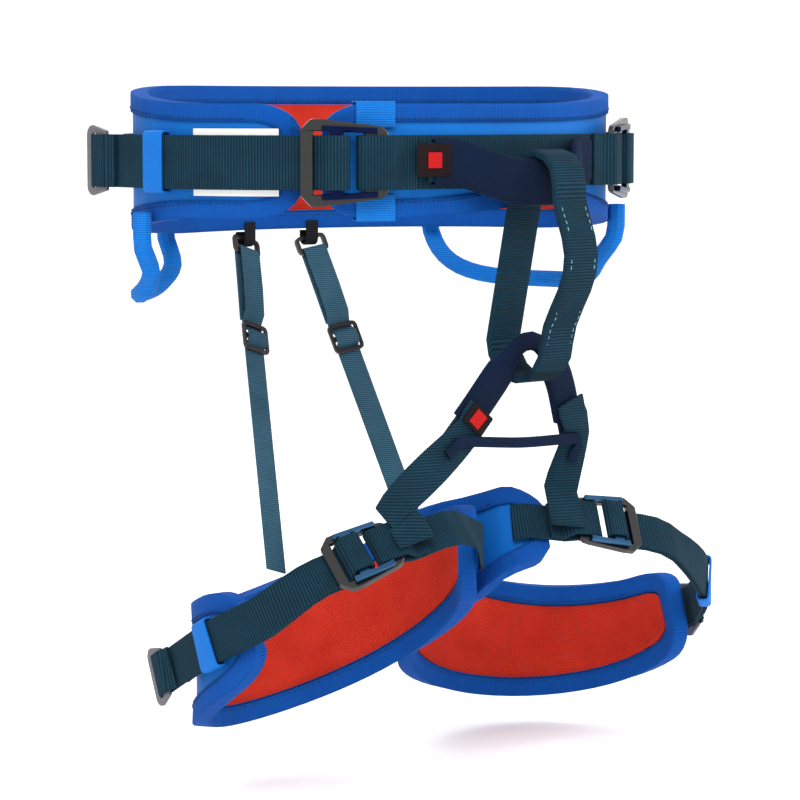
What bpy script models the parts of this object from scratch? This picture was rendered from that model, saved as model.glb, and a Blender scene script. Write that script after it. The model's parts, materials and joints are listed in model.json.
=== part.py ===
"""A two-buckle climbing harness: padded waist, belay loop, leg yoke, padded leg loops and risers.

Frame: metres, +Z up. The origin is the middle of the waist ring. The wearer faces -Y and the
wearer's left is +X. Every strap, pad and buckle is made flat and then laid on a track, which is
a curve with an outward side. Flat coordinates are (s, y, t): along the track, across it and
outwards from it.
"""

import copy
import math

import bmesh
import bpy
import numpy as np
from mathutils import Matrix, Vector

MM = 0.001
CLEARANCE = 0.3 * MM

# Waist ring and pad
WAIST_HALF_WIDTH = 127.5 * MM
WAIST_HALF_DEPTH = 94 * MM
WAIST_PAD_THICKNESS = 6 * MM
WAIST_BACK_TOP = 35 * MM
WAIST_BACK_BOTTOM = 37 * MM
TONGUE_TOP = 26 * MM
TONGUE_BOTTOM = 25 * MM
FRONT_BOTTOM_RISE = 5 * MM
PAD_START = -45.0
PAD_END = 309.0
TONGUE_ROUNDING = 22 * MM

# Sewn layers
LINING_THICKNESS = 0.8 * MM
LINING_INSET = 1.0 * MM
LINING_SHORTEST = 6 * MM
CORNER_STEP = 0.8 * MM
CORNER_SHARE = 0.75
BINDING_WIDTH = 7.5 * MM
BINDING_THICKNESS = 0.8 * MM
KEEPER_THICKNESS = 1.0 * MM
LABEL_THICKNESS = 0.7 * MM

# Waist webbing and buckles
WAIST_WEBBING = 25 * MM
WAIST_WEBBING_THICKNESS = 1.8 * MM
WAIST_BUCKLE_ANGLE = 41.0
WAIST_TAIL_LENGTH = 141 * MM
WAIST_KEEPER_PLACE = 81 * MM
WAIST_KEEPER_LENGTH = 12 * MM
LOAD_STRAND_END = 172.0

# Tie-in points and belay loop
TIE_IN_REACH = 28 * MM
TIE_IN_SAG = 9.4 * MM
TIE_IN_HALF_LENGTH = 48 * MM
TIE_IN_RISE = 40 * MM
TIE_IN_FLAT = 13 * MM
SLEEVE_HEIGHT = 22 * MM
SLEEVE_THICKNESS = 5 * MM
SLEEVE_WALL = 0.8 * MM
BELAY_WIDTH = 20 * MM
BELAY_THICKNESS = 3.4 * MM
BELAY_CENTRES = 75 * MM
BELAY_LEAN = 12 * MM
BELAY_BULGE = 12 * MM
BELAY_CLEARANCE = 4.5 * MM

# Leg yoke
YOKE_SHAPE = ((-35, -37), (-21, -18), (-9, -3.6), (0, 0), (9, -3.6), (22, -19), (30, -38))
YOKE_BACK_AT_FEET = 5 * MM
YOKE_DEPTH = 4.4 * MM
YOKE_SLEEVE_HEIGHT = 17 * MM
YOKE_APEX_HEIGHT = 9 * MM
YOKE_TAIL = 16 * MM
CROSS_STRAP_WIDTH = 5 * MM
CROSS_STRAP_THICKNESS = 1.2 * MM

# Leg loops
LEG_HOLD_BEFORE = 38 * MM
LEG_HOLD_AFTER = 20 * MM
LEG_SINK = 4 * MM
LEG_PAD_THICKNESS = 5 * MM
LEG_PAD_GAP = 1.0 * MM
LEG_PAD_MID_HALF = 29.5 * MM
LEG_PAD_END_HALF = 19.5 * MM
LEG_PAD_ROUNDING = 20 * MM
LEG_WEBBING = 20 * MM
LEG_WEBBING_THICKNESS = 1.6 * MM
LEG_TAIL_LENGTH = 138 * MM
LEG_KEEPER_PLACE = 79 * MM
LEG_KEEPER_LENGTH = 11 * MM
LEG_INNER_OVERLAP = 14 * MM

# Risers at the back
RISER_ANGLES = {"left": 165.0, "right": 183.5}
RISER_WIDTH = 13 * MM
RISER_THICKNESS = 1.1 * MM
RISER_LOOP = 41 * MM
RISER_TOP = -45 * MM
RISER_FOOT_ANGLES = {"left": 214.0, "right": 154.0}
RISER_FOOT_GAP = 6.5 * MM
RISER_TAB_THICKNESS = 1.0 * MM
RISER_TAB_SLACK = 1.5 * MM
RISER_BAR = 2.0 * MM
RISER_RING_LENGTH = 10 * MM
RISER_GLIDE_THICKNESS = 1.8 * MM

# Where the front straps meet the leg loops, measured back from each buckle
FRONT_STRAP_WIDTH = 17 * MM
FRONT_STRAP_PLACE = -23.5 * MM

# Gear loops
GEAR_TUBE_RADIUS = 4.6 * MM
GEAR_LOOPS = {"left": (60.0, 132.0), "right": (206.0, 264.0)}
GEAR_LOOP_DROP = {"left": 28 * MM, "right": 28 * MM}
GEAR_LOOP_TUCK = 9 * MM

BLACK = ((0.01, 0.01, 0.012), 0.25, 0.0)
NAVY_METAL = ((0.006, 0.01, 0.06), 0.2, 0.9)
STEEL_BLUE = ((0.02, 0.08, 0.17), 0.25, 0.9)
GREY = ((0.09, 0.09, 0.1), 0.5, 0.0)
TEAL = ((0.007, 0.045, 0.075), 0.85, 0.0)
NAVY_CLOTH = ((0.004, 0.022, 0.06), 0.85, 0.0)
BLUE = ((0.003, 0.16, 0.62), 0.85, 0.0)
DARK_BLUE = ((0.003, 0.07, 0.35), 0.85, 0.0)
RED = ((0.6, 0.035, 0.02), 0.9, 0.0)
ELASTIC = ((0.04, 0.11, 0.16), 0.9, 0.0)
LABEL = ((0.02, 0.01, 0.01), 0.8, 0.0)
WHITE = ((0.85, 0.85, 0.85), 0.8, 0.0)


def smooth_step(u):
    u = np.clip(u, 0, 1)
    return u * u * (3 - 2 * u)


def unit(vectors):
    return vectors / np.linalg.norm(vectors, axis=-1, keepdims=True)


class Track:
    """A curve in space with an outward direction, on which flat pieces are laid."""

    def __init__(self, points, outward):
        points = np.asarray(points, float)
        outward = np.asarray(outward, float)
        steps = np.linalg.norm(np.diff(points, axis=0), axis=1)
        self.length = np.concatenate([[0.0], np.cumsum(steps)])
        self.points = points
        self.face(np.gradient(points, self.length, axis=0), outward)

    def face(self, along, outward):
        """Keeps the directions as unit vectors, square to one another."""
        self.along = unit(along)
        self.outward = unit(outward - self.along * np.sum(outward * self.along, 1, keepdims=True))
        self.across = np.cross(self.outward, self.along)

    def read(self, table, s):
        return np.stack([np.interp(s, self.length, column) for column in table.T], axis=-1)

    def bend(self, flat):
        """World points of flat (s, y, t) points."""
        flat = np.asarray(flat, float)
        s = flat[..., 0]
        place = self.read(self.points, s)
        beyond = s - np.clip(s, self.length[0], self.length[-1])
        place = place + self.read(self.along, s) * beyond[..., None]
        return (
            place
            + self.read(self.across, s) * flat[..., 1:2]
            + self.read(self.outward, s) * flat[..., 2:3]
        )

    def stopped_at(self, s):
        """The same track up to s, from where it runs on in a straight line."""
        kept = self.length <= s
        short = copy.copy(self)
        for name in ("length", "points", "along", "outward", "across"):
            setattr(short, name, getattr(self, name)[kept])
        return short

    def share_near(self, s, before, after):
        """1 near s and 0 far from it. Each side is (how far it holds, where it has ended)."""
        away = self.length - s
        hold = np.where(away < 0, before[0], after[0])
        reach = np.where(away < 0, before[1], after[1])
        return 1 - smooth_step((np.abs(away) - hold) / (reach - hold))[:, None]

    def flattened(self, s, before, after, sink=0.0):
        """The same track with a straight stretch round s, which eases back to the curve."""
        share = self.share_near(s, before, after)
        along = self.read(self.along, s)
        outward = self.read(self.outward, s)
        line = self.read(self.points, s) + along * (self.length - s)[:, None] - outward * sink
        flat = copy.copy(self)
        flat.points = line * share + self.points * (1 - share)
        flat.face(
            along * share + self.along * (1 - share), outward * share + self.outward * (1 - share)
        )
        return flat

    def turned_up(self, s, degrees, before, after):
        """The same track rolled round s so that its outward side faces up."""
        roll = math.radians(degrees) * self.share_near(s, before, after)
        rolled = copy.copy(self)
        rolled.face(self.along, self.outward * np.cos(roll) + np.array([0, 0, 1.0]) * np.sin(roll))
        return rolled

    def rigid(self, s):
        """The matrix that lays a stiff flat piece on the track at s."""
        place = Vector(self.bend((s, 0, 0)))
        along = Vector(self.read(self.along, s)).normalized()
        outward = Vector(self.read(self.outward, s))
        outward = (outward - along * outward.dot(along)).normalized()
        across = outward.cross(along)
        matrix = Matrix((along, across, outward)).transposed().to_4x4()
        return Matrix.Translation(place) @ matrix


class RingTrack(Track):
    """A closed track around the body, read by its angle from the front towards the left."""

    def __init__(self, half_width, half_depth, centre, tilt=0.0, high_at=0.0):
        self.angles = np.linspace(-360.0, 720.0, 1441)
        phi = np.radians(self.angles)
        x = centre[0] + half_width * np.sin(phi)
        y = centre[1] - half_depth * np.cos(phi)
        z = centre[2] + tilt * np.cos(phi - math.radians(high_at))
        outward = np.stack([half_depth * np.sin(phi), -half_width * np.cos(phi), 0 * phi], axis=1)
        super().__init__(np.stack([x, y, z], axis=1), outward)

    def at(self, angle):
        return float(np.interp(angle, self.angles, self.length))


def curve_through(points, count=60):
    """A smooth (Catmull-Rom) curve through a few points, as an array of points."""
    points = np.asarray(points, float)
    padded = np.vstack([2 * points[0] - points[1], points, 2 * points[-1] - points[-2]])
    u = np.linspace(0, len(points) - 1, count)
    first = np.minimum(u.astype(int), len(points) - 2)
    v = (u - first)[:, None]
    a, b, c, d = (padded[first + k] for k in range(4))
    return 0.5 * (
        2 * b + (c - a) * v + (2 * a - 5 * b + 4 * c - d) * v**2 + (3 * b - a - 3 * c + d) * v**3
    )


def turn_points(centre, radius, start, stop, count=6):
    """(s, t) points round a bar, from one angle to another in degrees."""
    angles = np.radians(np.linspace(start, stop, count))
    return [(centre[0] + radius * math.cos(a), centre[1] + radius * math.sin(a)) for a in angles]


def spaced(first, last, step):
    """Evenly spaced values from first to last, no further apart than step."""
    count = max(2, int(math.ceil(abs(last - first) / step)) + 1)
    return np.linspace(first, last, count)


# ---------------------------------------------------------------- flat meshes


def grid_mesh(places, close_columns=False, close_rows=False):
    """A mesh of Blender's grid whose vertices take the places array, columns by rows by 3."""
    columns, rows = places.shape[:2]
    bm = bmesh.new()
    bmesh.ops.create_grid(bm, x_segments=columns - 1, y_segments=rows - 1, size=1.0)
    for vertex in bm.verts:
        i = round((vertex.co.x + 1) / 2 * (columns - 1))
        j = round((vertex.co.y + 1) / 2 * (rows - 1))
        vertex.co = places[i, j]
    if close_columns or close_rows:
        bmesh.ops.remove_doubles(bm, verts=bm.verts, dist=1e-6)
    mesh = bpy.data.meshes.new("flat")
    bm.to_mesh(mesh)
    bm.free()
    return mesh


def evaluated(data, modifiers=()):
    """The mesh that an object of this data has with these modifiers."""
    holder = bpy.data.objects.new("holder", data)
    bpy.context.scene.collection.objects.link(holder)
    for kind, settings in modifiers:
        modifier = holder.modifiers.new(kind.title(), kind)
        for key, value in settings.items():
            setattr(modifier, key, value)
    graph = bpy.context.evaluated_depsgraph_get()
    mesh = bpy.data.meshes.new_from_object(holder.evaluated_get(graph))
    bpy.data.objects.remove(holder)
    return mesh


def thickened(mesh, thickness, even=True):
    settings = {"thickness": thickness, "offset": 0.0, "use_even_offset": even}
    return evaluated(mesh, [("SOLIDIFY", settings)])


def strip(path, width, thickness, closed=False):
    """A strap: path is (s, t) or (s, y, t) points, and the width runs in y."""
    path = np.asarray(path, float)
    if path.shape[1] == 2:
        path = np.insert(path, 1, 0.0, axis=1)
    if closed:
        path = np.vstack([path, path[:1]])
    side = np.zeros_like(path)
    side[:, 1] = np.asarray(width) / 2
    return thickened(grid_mesh(np.stack([path - side, path + side], axis=1), closed), thickness)


def band(profile, start, length, thickness, closed=True):
    """A band round other pieces: profile is (y, t) points, and the width runs in s."""
    profile = np.asarray(profile, float)
    if closed:
        profile = np.vstack([profile, profile[:1]])
    rings = [np.insert(profile, 0, s, axis=1) for s in spaced(start + length, start, 6.5 * MM)]
    return thickened(grid_mesh(np.stack(rings, axis=1), closed), thickness)


def tube(path, heights, depth, wall):
    """A flattened sleeve along (s, y, t) points, with open ends and a height at each point."""
    path = np.asarray(path, float)
    heights = np.broadcast_to(heights, len(path))
    ahead = unit(np.gradient(path, axis=0) * (1, 0, 1))
    normals = np.stack([-ahead[:, 2], 0 * ahead[:, 1], ahead[:, 0]], axis=1)
    places = []
    for point, normal, height in zip(path, normals, heights):
        profile = rounded_box(height - wall, depth - wall, depth * 0.4, 3)
        profile = np.vstack([profile, profile[:1]])
        places.append(point + profile[:, :1] * np.array([0, 1.0, 0]) + profile[:, 1:] * normal)
    return thickened(grid_mesh(np.array(places), False, True), wall)


def rounded_box(width, height, radius, count=4):
    """The outline of a box with round corners, as an array of points."""
    radius = min(radius, width / 2, height / 2)
    outline = []
    corners = ((1, 1, 0), (-1, 1, 90), (-1, -1, 180), (1, -1, 270))
    for side_x, side_y, start in corners:
        centre = (side_x * (width / 2 - radius), side_y * (height / 2 - radius))
        outline += turn_points(centre, radius, start, start + 90, count)
    return np.array(outline)


def plate(outlines, low, high, bevel=0.0):
    """A flat plate from t = low to high. The first outline is its edge, the others its holes."""
    curve = bpy.data.curves.new("outline", "CURVE")
    curve.dimensions = "2D"
    curve.fill_mode = "BOTH"
    curve.extrude = (high - low) / 2
    for outline in outlines:
        spline = curve.splines.new("POLY")
        spline.points.add(len(outline) - 1)
        spline.use_cyclic_u = True
        for point, (x, y) in zip(spline.points, outline):
            point.co = (x, y, 0.0, 1.0)
    modifiers = [("WELD", {"merge_threshold": 1e-6})]
    if bevel:
        settings = {"width": bevel, "segments": 1, "limit_method": "ANGLE"}
        modifiers.append(("BEVEL", settings))
    mesh = evaluated(curve, modifiers)
    mesh.transform(Matrix.Translation((0, 0, (low + high) / 2)))
    return mesh


def patch(lines, rows, t, thickness):
    """A panel between lines of (s, y) points that run along it, with rows between the middle two."""
    half = len(lines) // 2
    share = np.linspace(0, 1, rows + 1)[1:-1, None, None]
    between = lines[half - 1] * (1 - share) + lines[half] * share
    places = np.concatenate([lines[:half], between, lines[half:]]).transpose(1, 0, 2)
    # The tips are closed by a column straight across them.
    share = np.linspace(0, 1, places.shape[1])[:, None]
    tips = [places[end, 0] * (1 - share) + places[end, -1] * share for end in (0, -1)]
    if len(lines) > 2:
        places = np.concatenate([tips[:1], places, tips[1:]])
    return thickened(grid_mesh(np.insert(places, 2, t, axis=2), True), thickness, False)


def edge_loop(columns, lows, highs, inset=0.0):
    """The outline of a panel, moved inwards by inset, as an array of (s, y) points."""
    loop = np.vstack([
        np.stack([columns, lows], axis=1),
        np.stack([columns, highs], axis=1)[::-1],
    ])
    before = np.roll(loop, 1, axis=0)
    after = np.roll(loop, -1, axis=0)
    side_a = (loop - before) / np.linalg.norm(loop - before, axis=1, keepdims=True)
    side_b = (after - loop) / np.linalg.norm(after - loop, axis=1, keepdims=True)
    inward = np.stack([-(side_a + side_b)[:, 1], (side_a + side_b)[:, 0]], axis=1)
    inward /= np.linalg.norm(inward, axis=1, keepdims=True)
    spread = np.clip(np.sum(inward * np.stack([-side_a[:, 1], side_a[:, 0]], 1), axis=1), 0.5, 1)
    moved = loop + inward * (inset / spread)[:, None]
    if inset > 0:
        # A narrow end is narrower than the inset, so each corner follows the point beside it.
        last = len(columns) - 1
        ends = ((0, 1, -1), (last, last - 1, 1), (last + 1, last + 2, 1), (2 * last + 1, 2 * last, -1))
        for corner, beside, way in ends:
            middle = (lows + highs)[beside if beside <= last else 2 * last + 1 - beside] / 2
            moved[corner, 0] = moved[beside, 0] + way * CORNER_STEP
            moved[corner, 1] = middle + (moved[beside, 1] - middle) * CORNER_SHARE
    return moved


def edge_binding(columns, lows, highs, half, width, thickness, gap):
    """A tape folded round the edge of a panel that reaches half either side of t = 0."""
    level = half + gap + thickness / 2
    rim = -(gap + thickness / 2)
    rings = []
    for inset, t in ((width, -level), (rim, -level), (rim, level), (width, level)):
        loop = edge_loop(columns, lows, highs, inset)
        loop = np.vstack([loop, loop[:1]])
        rings.append(np.insert(loop, 2, t, axis=1))
    return thickened(grid_mesh(np.stack(rings, axis=1), True), thickness)


def pad_outline(start, stop, low_at, high_at, rounding, step):
    """Columns and edges of a pad with round ends. Each edge is a function of the length."""
    ends = rounding * (1 - np.cos(np.radians(np.linspace(12, 90, 6))))
    middle = spaced(start + rounding, stop - rounding, step)[1:-1]
    columns = np.concatenate([start + ends, middle, stop - ends[::-1]])
    from_end = np.minimum(columns - start, stop - columns)
    closing = np.sqrt(np.clip(1 - (1 - np.clip(from_end / rounding, 0, 1)) ** 2, 0, 1))
    lows = low_at(columns)
    highs = high_at(columns)
    middle_line = (lows + highs) / 2
    half = (highs - lows) / 2
    # The round end takes off one rounding radius at the tip, and nothing where the end begins.
    half = half - np.minimum(rounding, half * 0.5) * (1 - closing)
    return columns, middle_line - half, middle_line + half


# ---------------------------------------------------------------- objects


def add_piece(name, mesh, look, origin=(0.0, 0.0, 0.0)):
    """The named object of a finished mesh in world places, with its origin where it is asked."""
    bm = bmesh.new()
    bm.from_mesh(mesh)
    bmesh.ops.remove_doubles(bm, verts=bm.verts, dist=1e-7)
    bmesh.ops.recalc_face_normals(bm, faces=bm.faces)
    bmesh.ops.translate(bm, verts=bm.verts, vec=-Vector(origin))
    final = bpy.data.meshes.new(name)
    bm.to_mesh(final)
    bm.free()
    colour, roughness, metallic = look
    material = bpy.data.materials.new(name)
    material.use_nodes = True
    shader = material.node_tree.nodes["Principled BSDF"]
    shader.inputs["Base Color"].default_value = (*colour, 1.0)
    shader.inputs["Roughness"].default_value = roughness
    shader.inputs["Metallic"].default_value = metallic
    final.materials.append(material)
    piece = bpy.data.objects.new(name, final)
    piece.location = origin
    PARTS.objects.link(piece)
    return piece


def shifted(mesh, start, sign=1):
    """Turns a flat piece's own length q into the track's length: s = start + sign * q."""
    mesh.transform(Matrix.Translation((start, 0, 0)) @ Matrix.Diagonal((sign, 1, 1, 1)))
    return mesh


def bent(mesh, track, mirror=False, tail=None, tail_level=0.0):
    """Lays a flat mesh on a track. A mirrored piece is reflected to the wearer's right.

    What lies above tail_level follows the tail track instead, where one is given.
    """
    places = np.empty(len(mesh.vertices) * 3)
    mesh.vertices.foreach_get("co", places)
    places = places.reshape(-1, 3)
    world = track.bend(places)
    if tail:
        free = places[:, 2] > tail_level
        world[free] = tail.bend(places[free])
    if mirror:
        world[:, 0] *= -1
    mesh.vertices.foreach_set("co", world.astype(np.float32).ravel())
    mesh.update()
    return mesh


def laid(mesh, matrix, mirror=False):
    """Places a stiff flat mesh by a matrix, reflected to the wearer's right if asked."""
    mesh.transform(matrix)
    if mirror:
        mesh.transform(Matrix.Scale(-1, 4, (1, 0, 0)))
    return mesh


class Layers:
    """The levels of the stacked layers outside a pad, worked out from their thicknesses."""

    def __init__(self, pad, webbing, gap):
        self.webbing = webbing
        self.skin = pad / 2 + gap + BINDING_THICKNESS
        self.keeper_in = self.skin + CLEARANCE + KEEPER_THICKNESS / 2
        self.load = self.keeper_in + KEEPER_THICKNESS / 2 + 2 * CLEARANCE + webbing / 2
        self.tail = self.load + webbing + CLEARANCE
        self.keeper_out = self.tail + webbing / 2 + 2 * CLEARANCE + KEEPER_THICKNESS / 2
        self.frame_low = self.tail + webbing / 2 + CLEARANCE


class Buckle:
    """A slider buckle in flat places. q = 0 is its middle, and +q points to the adjusting side."""

    FRAME_THICKNESS = 3.0 * MM
    SLIDER_THICKNESS = 2.2 * MM

    def __init__(self, webbing, layers):
        self.layers = layers
        self.width = webbing
        grow = webbing / (25 * MM)
        self.half_length = 20.5 * MM * grow
        self.wide_half = webbing / 2 + 7.5 * MM * grow
        self.narrow_half = webbing / 2 + 4.2 * MM * grow
        self.window_far = 14.5 * MM * grow
        self.window_near = -9.0 * MM * grow
        self.bar_low = 1.0 * MM
        self.bar_high = self.bar_low + 6.5 * MM * grow
        self.frame_low = layers.frame_low
        self.frame_high = self.frame_low + self.FRAME_THICKNESS
        self.slider_low = self.frame_high + CLEARANCE
        self.slider_high = self.slider_low + self.SLIDER_THICKNESS
        self.turn = CLEARANCE + layers.webbing / 2
        self.fold_top = self.frame_high + 2 * self.turn

    def frame(self):
        """The fixed frame: chamfered at the adjusting end, rounded at the sewn end."""
        end = self.half_length
        cut = 5 * MM
        outline = [(end, -self.wide_half + cut), (end, self.wide_half - cut)]
        outline += [(end - cut, self.wide_half), (end - 2 * cut, self.wide_half)]
        corner = self.narrow_half - 5 * MM
        outline += turn_points((-end + 5 * MM, corner), 5 * MM, 90, 180, 4)
        outline += turn_points((-end + 5 * MM, -corner), 5 * MM, 180, 270, 4)
        outline += [(end - 2 * cut, -self.wide_half), (end - cut, -self.wide_half)]
        window = self.width / 2 + 1.0 * MM
        hole = [
            (self.window_far, -window - 1 * MM),
            (self.window_far, window + 1 * MM),
            (self.window_near, window),
            (self.window_near, -window),
        ]
        return plate([outline, hole], self.frame_low, self.frame_high, 0.5 * MM)

    def slider(self):
        """The sliding frame: two rails joined by the bar that the strap turns round."""
        rail_low = self.width / 2 + 1.7 * MM
        rail_high = rail_low + 2.8 * MM
        far = self.bar_high + 3.0 * MM
        near = -self.half_length + 5.5 * MM
        slope = 1.2 * MM
        outline = [(far, rail_high), (near, rail_high - slope), (near, rail_low - slope)]
        outline += [(self.bar_low, rail_low), (self.bar_low, -rail_low)]
        outline += [(near, -rail_low + slope), (near, -rail_high + slope), (far, -rail_high)]
        outline += [(far, -rail_low), (self.bar_high, -rail_low)]
        outline += [(self.bar_high, rail_low), (far, rail_low)]
        return plate([outline], self.slider_low, self.slider_high, 0.4 * MM)

    def strap_turn(self):
        """(q, t) points of the strap from its load strand, round the slider bar, to its tail."""
        layers = self.layers
        middle = (self.slider_low + self.slider_high) / 2
        radius = self.SLIDER_THICKNESS / 2 + self.turn
        under = [(self.window_far + 2 * MM, layers.load), (self.window_far - 1 * MM, layers.load)]
        rise = [(self.bar_high, middle - radius - 1.6 * MM)]
        turn = turn_points((self.bar_low, middle), radius, 270, 90, 7)
        top = [(self.bar_high + 0.8 * MM, middle + radius)]
        down = [(self.window_far - 0.6 * MM, layers.tail + 0.5 * MM)]
        out = [(self.window_far + 1.5 * MM, layers.tail)]
        return under + rise + turn + top + down + out

    def sewn_turn(self):
        """(q, t) points of a strap from its sewn end, over the fixed bar, round it and out."""
        layers = self.layers
        middle = (self.frame_low + self.frame_high) / 2
        radius = self.FRAME_THICKNESS / 2 + self.turn
        end = -self.half_length
        over = [(end - 13 * MM, layers.tail), (end - 6 * MM, layers.tail)]
        over += [(end - 1.5 * MM, middle + radius)]
        turn = turn_points((self.window_near, middle), radius, 90, -90, 7)
        under = [(end + 1 * MM, middle - radius), (end - 5 * MM, layers.load)]
        return over + turn + under


class TailStop:
    """The stiff end of an adjusting strap: a slotted plate held in the strap's folded end."""

    THICKNESS = 2.0 * MM

    def __init__(self, webbing, layers, end):
        self.width = webbing
        self.layers = layers
        self.end = end
        self.length = 17 * MM * webbing / (25 * MM)
        self.outer_bar = 4.6 * MM
        self.slot = layers.webbing + 4 * CLEARANCE
        self.low = layers.tail + layers.webbing / 2 + CLEARANCE
        self.high = self.low + self.THICKNESS

    def plate(self):
        outer = self.width / 2 + 4.3 * MM
        inner = self.width / 2 + 1.6 * MM
        corner = 4.5 * MM
        outline = turn_points((self.end - corner, outer - corner), corner, 0, 90, 4)
        outline += [(self.end - self.length, inner)]
        outline += [(self.end - self.length, -inner)]
        outline += turn_points((self.end - corner, -outer + corner), corner, 270, 360, 4)
        far = self.end - self.outer_bar
        near = far - self.slot
        half = self.width / 2 + 0.5 * MM
        slot = [(far, -half), (far, half), (near, half), (near, -half)]
        return plate([outline, slot], self.low, self.high, 0.4 * MM)

    def fold(self):
        """(q, t) points of the strap's end: under the plate, up its slot and back over it."""
        layers = self.layers
        turn = layers.webbing / 2 + CLEARANCE
        bar_edge = self.end - self.outer_bar - self.slot
        middle = (self.low + self.high) / 2
        radius = self.THICKNESS / 2 + turn
        points = [(self.end - self.length - 3 * MM, layers.tail)]
        points += turn_points((bar_edge - 0.6 * MM, middle), radius, -90, 90, 7)
        back = self.end - self.length
        points += [(back - 0.5 * MM, middle + radius), (back - 3.0 * MM, layers.tail + 3.0 * MM)]
        points += [(back - 7 * MM, layers.tail + layers.webbing + CLEARANCE)]
        return points


# ---------------------------------------------------------------- tracks and levels

WAIST = RingTrack(WAIST_HALF_WIDTH, WAIST_HALF_DEPTH, (0, 0, 0))
WAIST_LAYERS = Layers(WAIST_PAD_THICKNESS, WAIST_WEBBING_THICKNESS, CLEARANCE)
WAIST_BUCKLE = Buckle(WAIST_WEBBING, WAIST_LAYERS)
LEG_LAYERS = Layers(LEG_PAD_THICKNESS, LEG_WEBBING_THICKNESS, LEG_PAD_GAP)
LEG_BUCKLE = Buckle(LEG_WEBBING, LEG_LAYERS)
WAIST_BELT = WAIST
for buckle_angle in (WAIST_BUCKLE_ANGLE, -WAIST_BUCKLE_ANGLE):
    straight = (23 * MM, 39 * MM)
    WAIST_BELT = WAIST_BELT.flattened(WAIST.at(buckle_angle), straight, straight)
HINGE_TOP = np.array([0.0, -WAIST_HALF_DEPTH - TIE_IN_REACH, -TIE_IN_SAG])
HINGE_LOW = HINGE_TOP + np.array([0.0, BELAY_LEAN, -BELAY_CENTRES])


class Leg:
    """The places round one leg. Angles are from the front towards the wearer's left.

    The track runs past the buckle in the direction of adjustment. It is straight and faces up
    at the buckle, and it is upright where the pad is.
    """

    def __init__(self, side, radius, centre, tilt, high_at, pad, buckle, inner, turned, ended):
        self.side = side
        self.sign = 1 if side == "left" else -1
        self.ring = RingTrack(radius, radius, np.array(centre) * MM, tilt, high_at)
        track = self.ring
        if self.sign < 0:
            track = Track(track.points[::-1], track.outward[::-1])
        self.start = self.place(buckle)
        track = track.flattened(
            self.start, (LEG_HOLD_BEFORE, 64 * MM), (LEG_HOLD_AFTER, 46 * MM), LEG_SINK
        )
        self.track = track.turned_up(
            self.start, turned, (LEG_HOLD_BEFORE, 82 * MM), (LEG_HOLD_AFTER, ended)
        )
        self.pad_from, self.pad_to = sorted(self.place(angle) for angle in pad)
        self.reach = self.start - self.place(inner)

    def place(self, angle):
        s = self.ring.at(angle)
        return s if self.sign > 0 else self.ring.length[-1] - s


LEFT_LEG = Leg(
    "left",
    radius=71 * MM,
    centre=(74, -49, -219),
    tilt=38 * MM,
    high_at=-40.0,
    pad=(68.0, 312.0),
    buckle=336.0,
    inner=310.0,
    turned=44.0,
    ended=75 * MM,
)
RIGHT_LEG = Leg(
    "right",
    radius=63 * MM,
    centre=(-71, -51, -210),
    tilt=34 * MM,
    high_at=14.0,
    pad=(46.0, 281.0),
    buckle=-27.0,
    inner=46.0,
    turned=50.0,
    ended=55 * MM,
)
LEGS = (LEFT_LEG, RIGHT_LEG)


# ---------------------------------------------------------------- waist


def waist_edges(columns):
    """The lower and upper edges of the waist pad: low at the tongues, tall round the back."""
    angle = np.interp(columns, WAIST.length, WAIST.angles)
    tall = smooth_step((angle - 10) / 90) * (1 - smooth_step((angle - 205) / 80))
    raised = FRONT_BOTTOM_RISE * np.exp(-(((angle - 8) / 22) ** 2))
    low = raised - (TONGUE_BOTTOM + (WAIST_BACK_BOTTOM - TONGUE_BOTTOM) * tall)
    high = TONGUE_TOP + (WAIST_BACK_TOP - TONGUE_TOP) * tall
    return low, high


def add_padding(prefix, track, outline, thickness, rows, gap):
    """A pad of three sewn pieces: the padded shell, the lining and the edge binding."""
    columns, lows, highs = outline
    count = len(columns)

    def edges(inset):
        loop = edge_loop(columns, lows, highs, inset)
        return [loop[:count], loop[count:][::-1]]

    outer, inner = edges(0.0), edges(BINDING_WIDTH)
    lines = np.array([outer[0], inner[0], inner[1], outer[1]])
    add_piece(prefix + "_pad", bent(patch(lines, rows, 0.0, thickness), track), BLUE)
    level = -(thickness / 2 + gap + LINING_THICKNESS / 2)
    lines = np.array(edges(BINDING_WIDTH + LINING_INSET))
    lines = lines[:, lines[1, :, 1] - lines[0, :, 1] > LINING_SHORTEST]
    lining = patch(lines, rows, level, LINING_THICKNESS)
    add_piece(prefix + "_lining", bent(lining, track), RED)
    binding = edge_binding(
        columns, lows, highs, thickness / 2, BINDING_WIDTH, BINDING_THICKNESS, gap
    )
    add_piece(prefix + "_binding", bent(binding, track), DARK_BLUE)


def add_waist_pad():
    start, stop = WAIST.at(PAD_START), WAIST.at(PAD_END)
    outline = pad_outline(
        start, stop, lambda s: waist_edges(s)[0], lambda s: waist_edges(s)[1], TONGUE_ROUNDING,
        13 * MM,
    )
    add_padding("waist", WAIST, outline, WAIST_PAD_THICKNESS, 2, CLEARANCE)


def keeper_profile(layers, width):
    """The (y, t) outline of a keeper round the load strand and the tail."""
    depth = layers.keeper_out - layers.keeper_in
    profile = rounded_box(width + 2 * (2 * CLEARANCE + KEEPER_THICKNESS), depth, 1.6 * MM, 3)
    profile[:, 1] += (layers.keeper_out + layers.keeper_in) / 2
    return profile


def adjusting_path(buckle, layers, stop, load_end, step):
    """(q, t) points of an adjusting strap from the far end of its load strand to its tail."""
    turn = buckle.strap_turn()
    fold = stop.fold()
    load = [(q, layers.load) for q in spaced(load_end, turn[0][0], step)[:-1]]
    tail = [(q, layers.tail) for q in spaced(turn[-1][0], fold[0][0], step)[1:-1]]
    return load + turn + tail + fold


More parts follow.
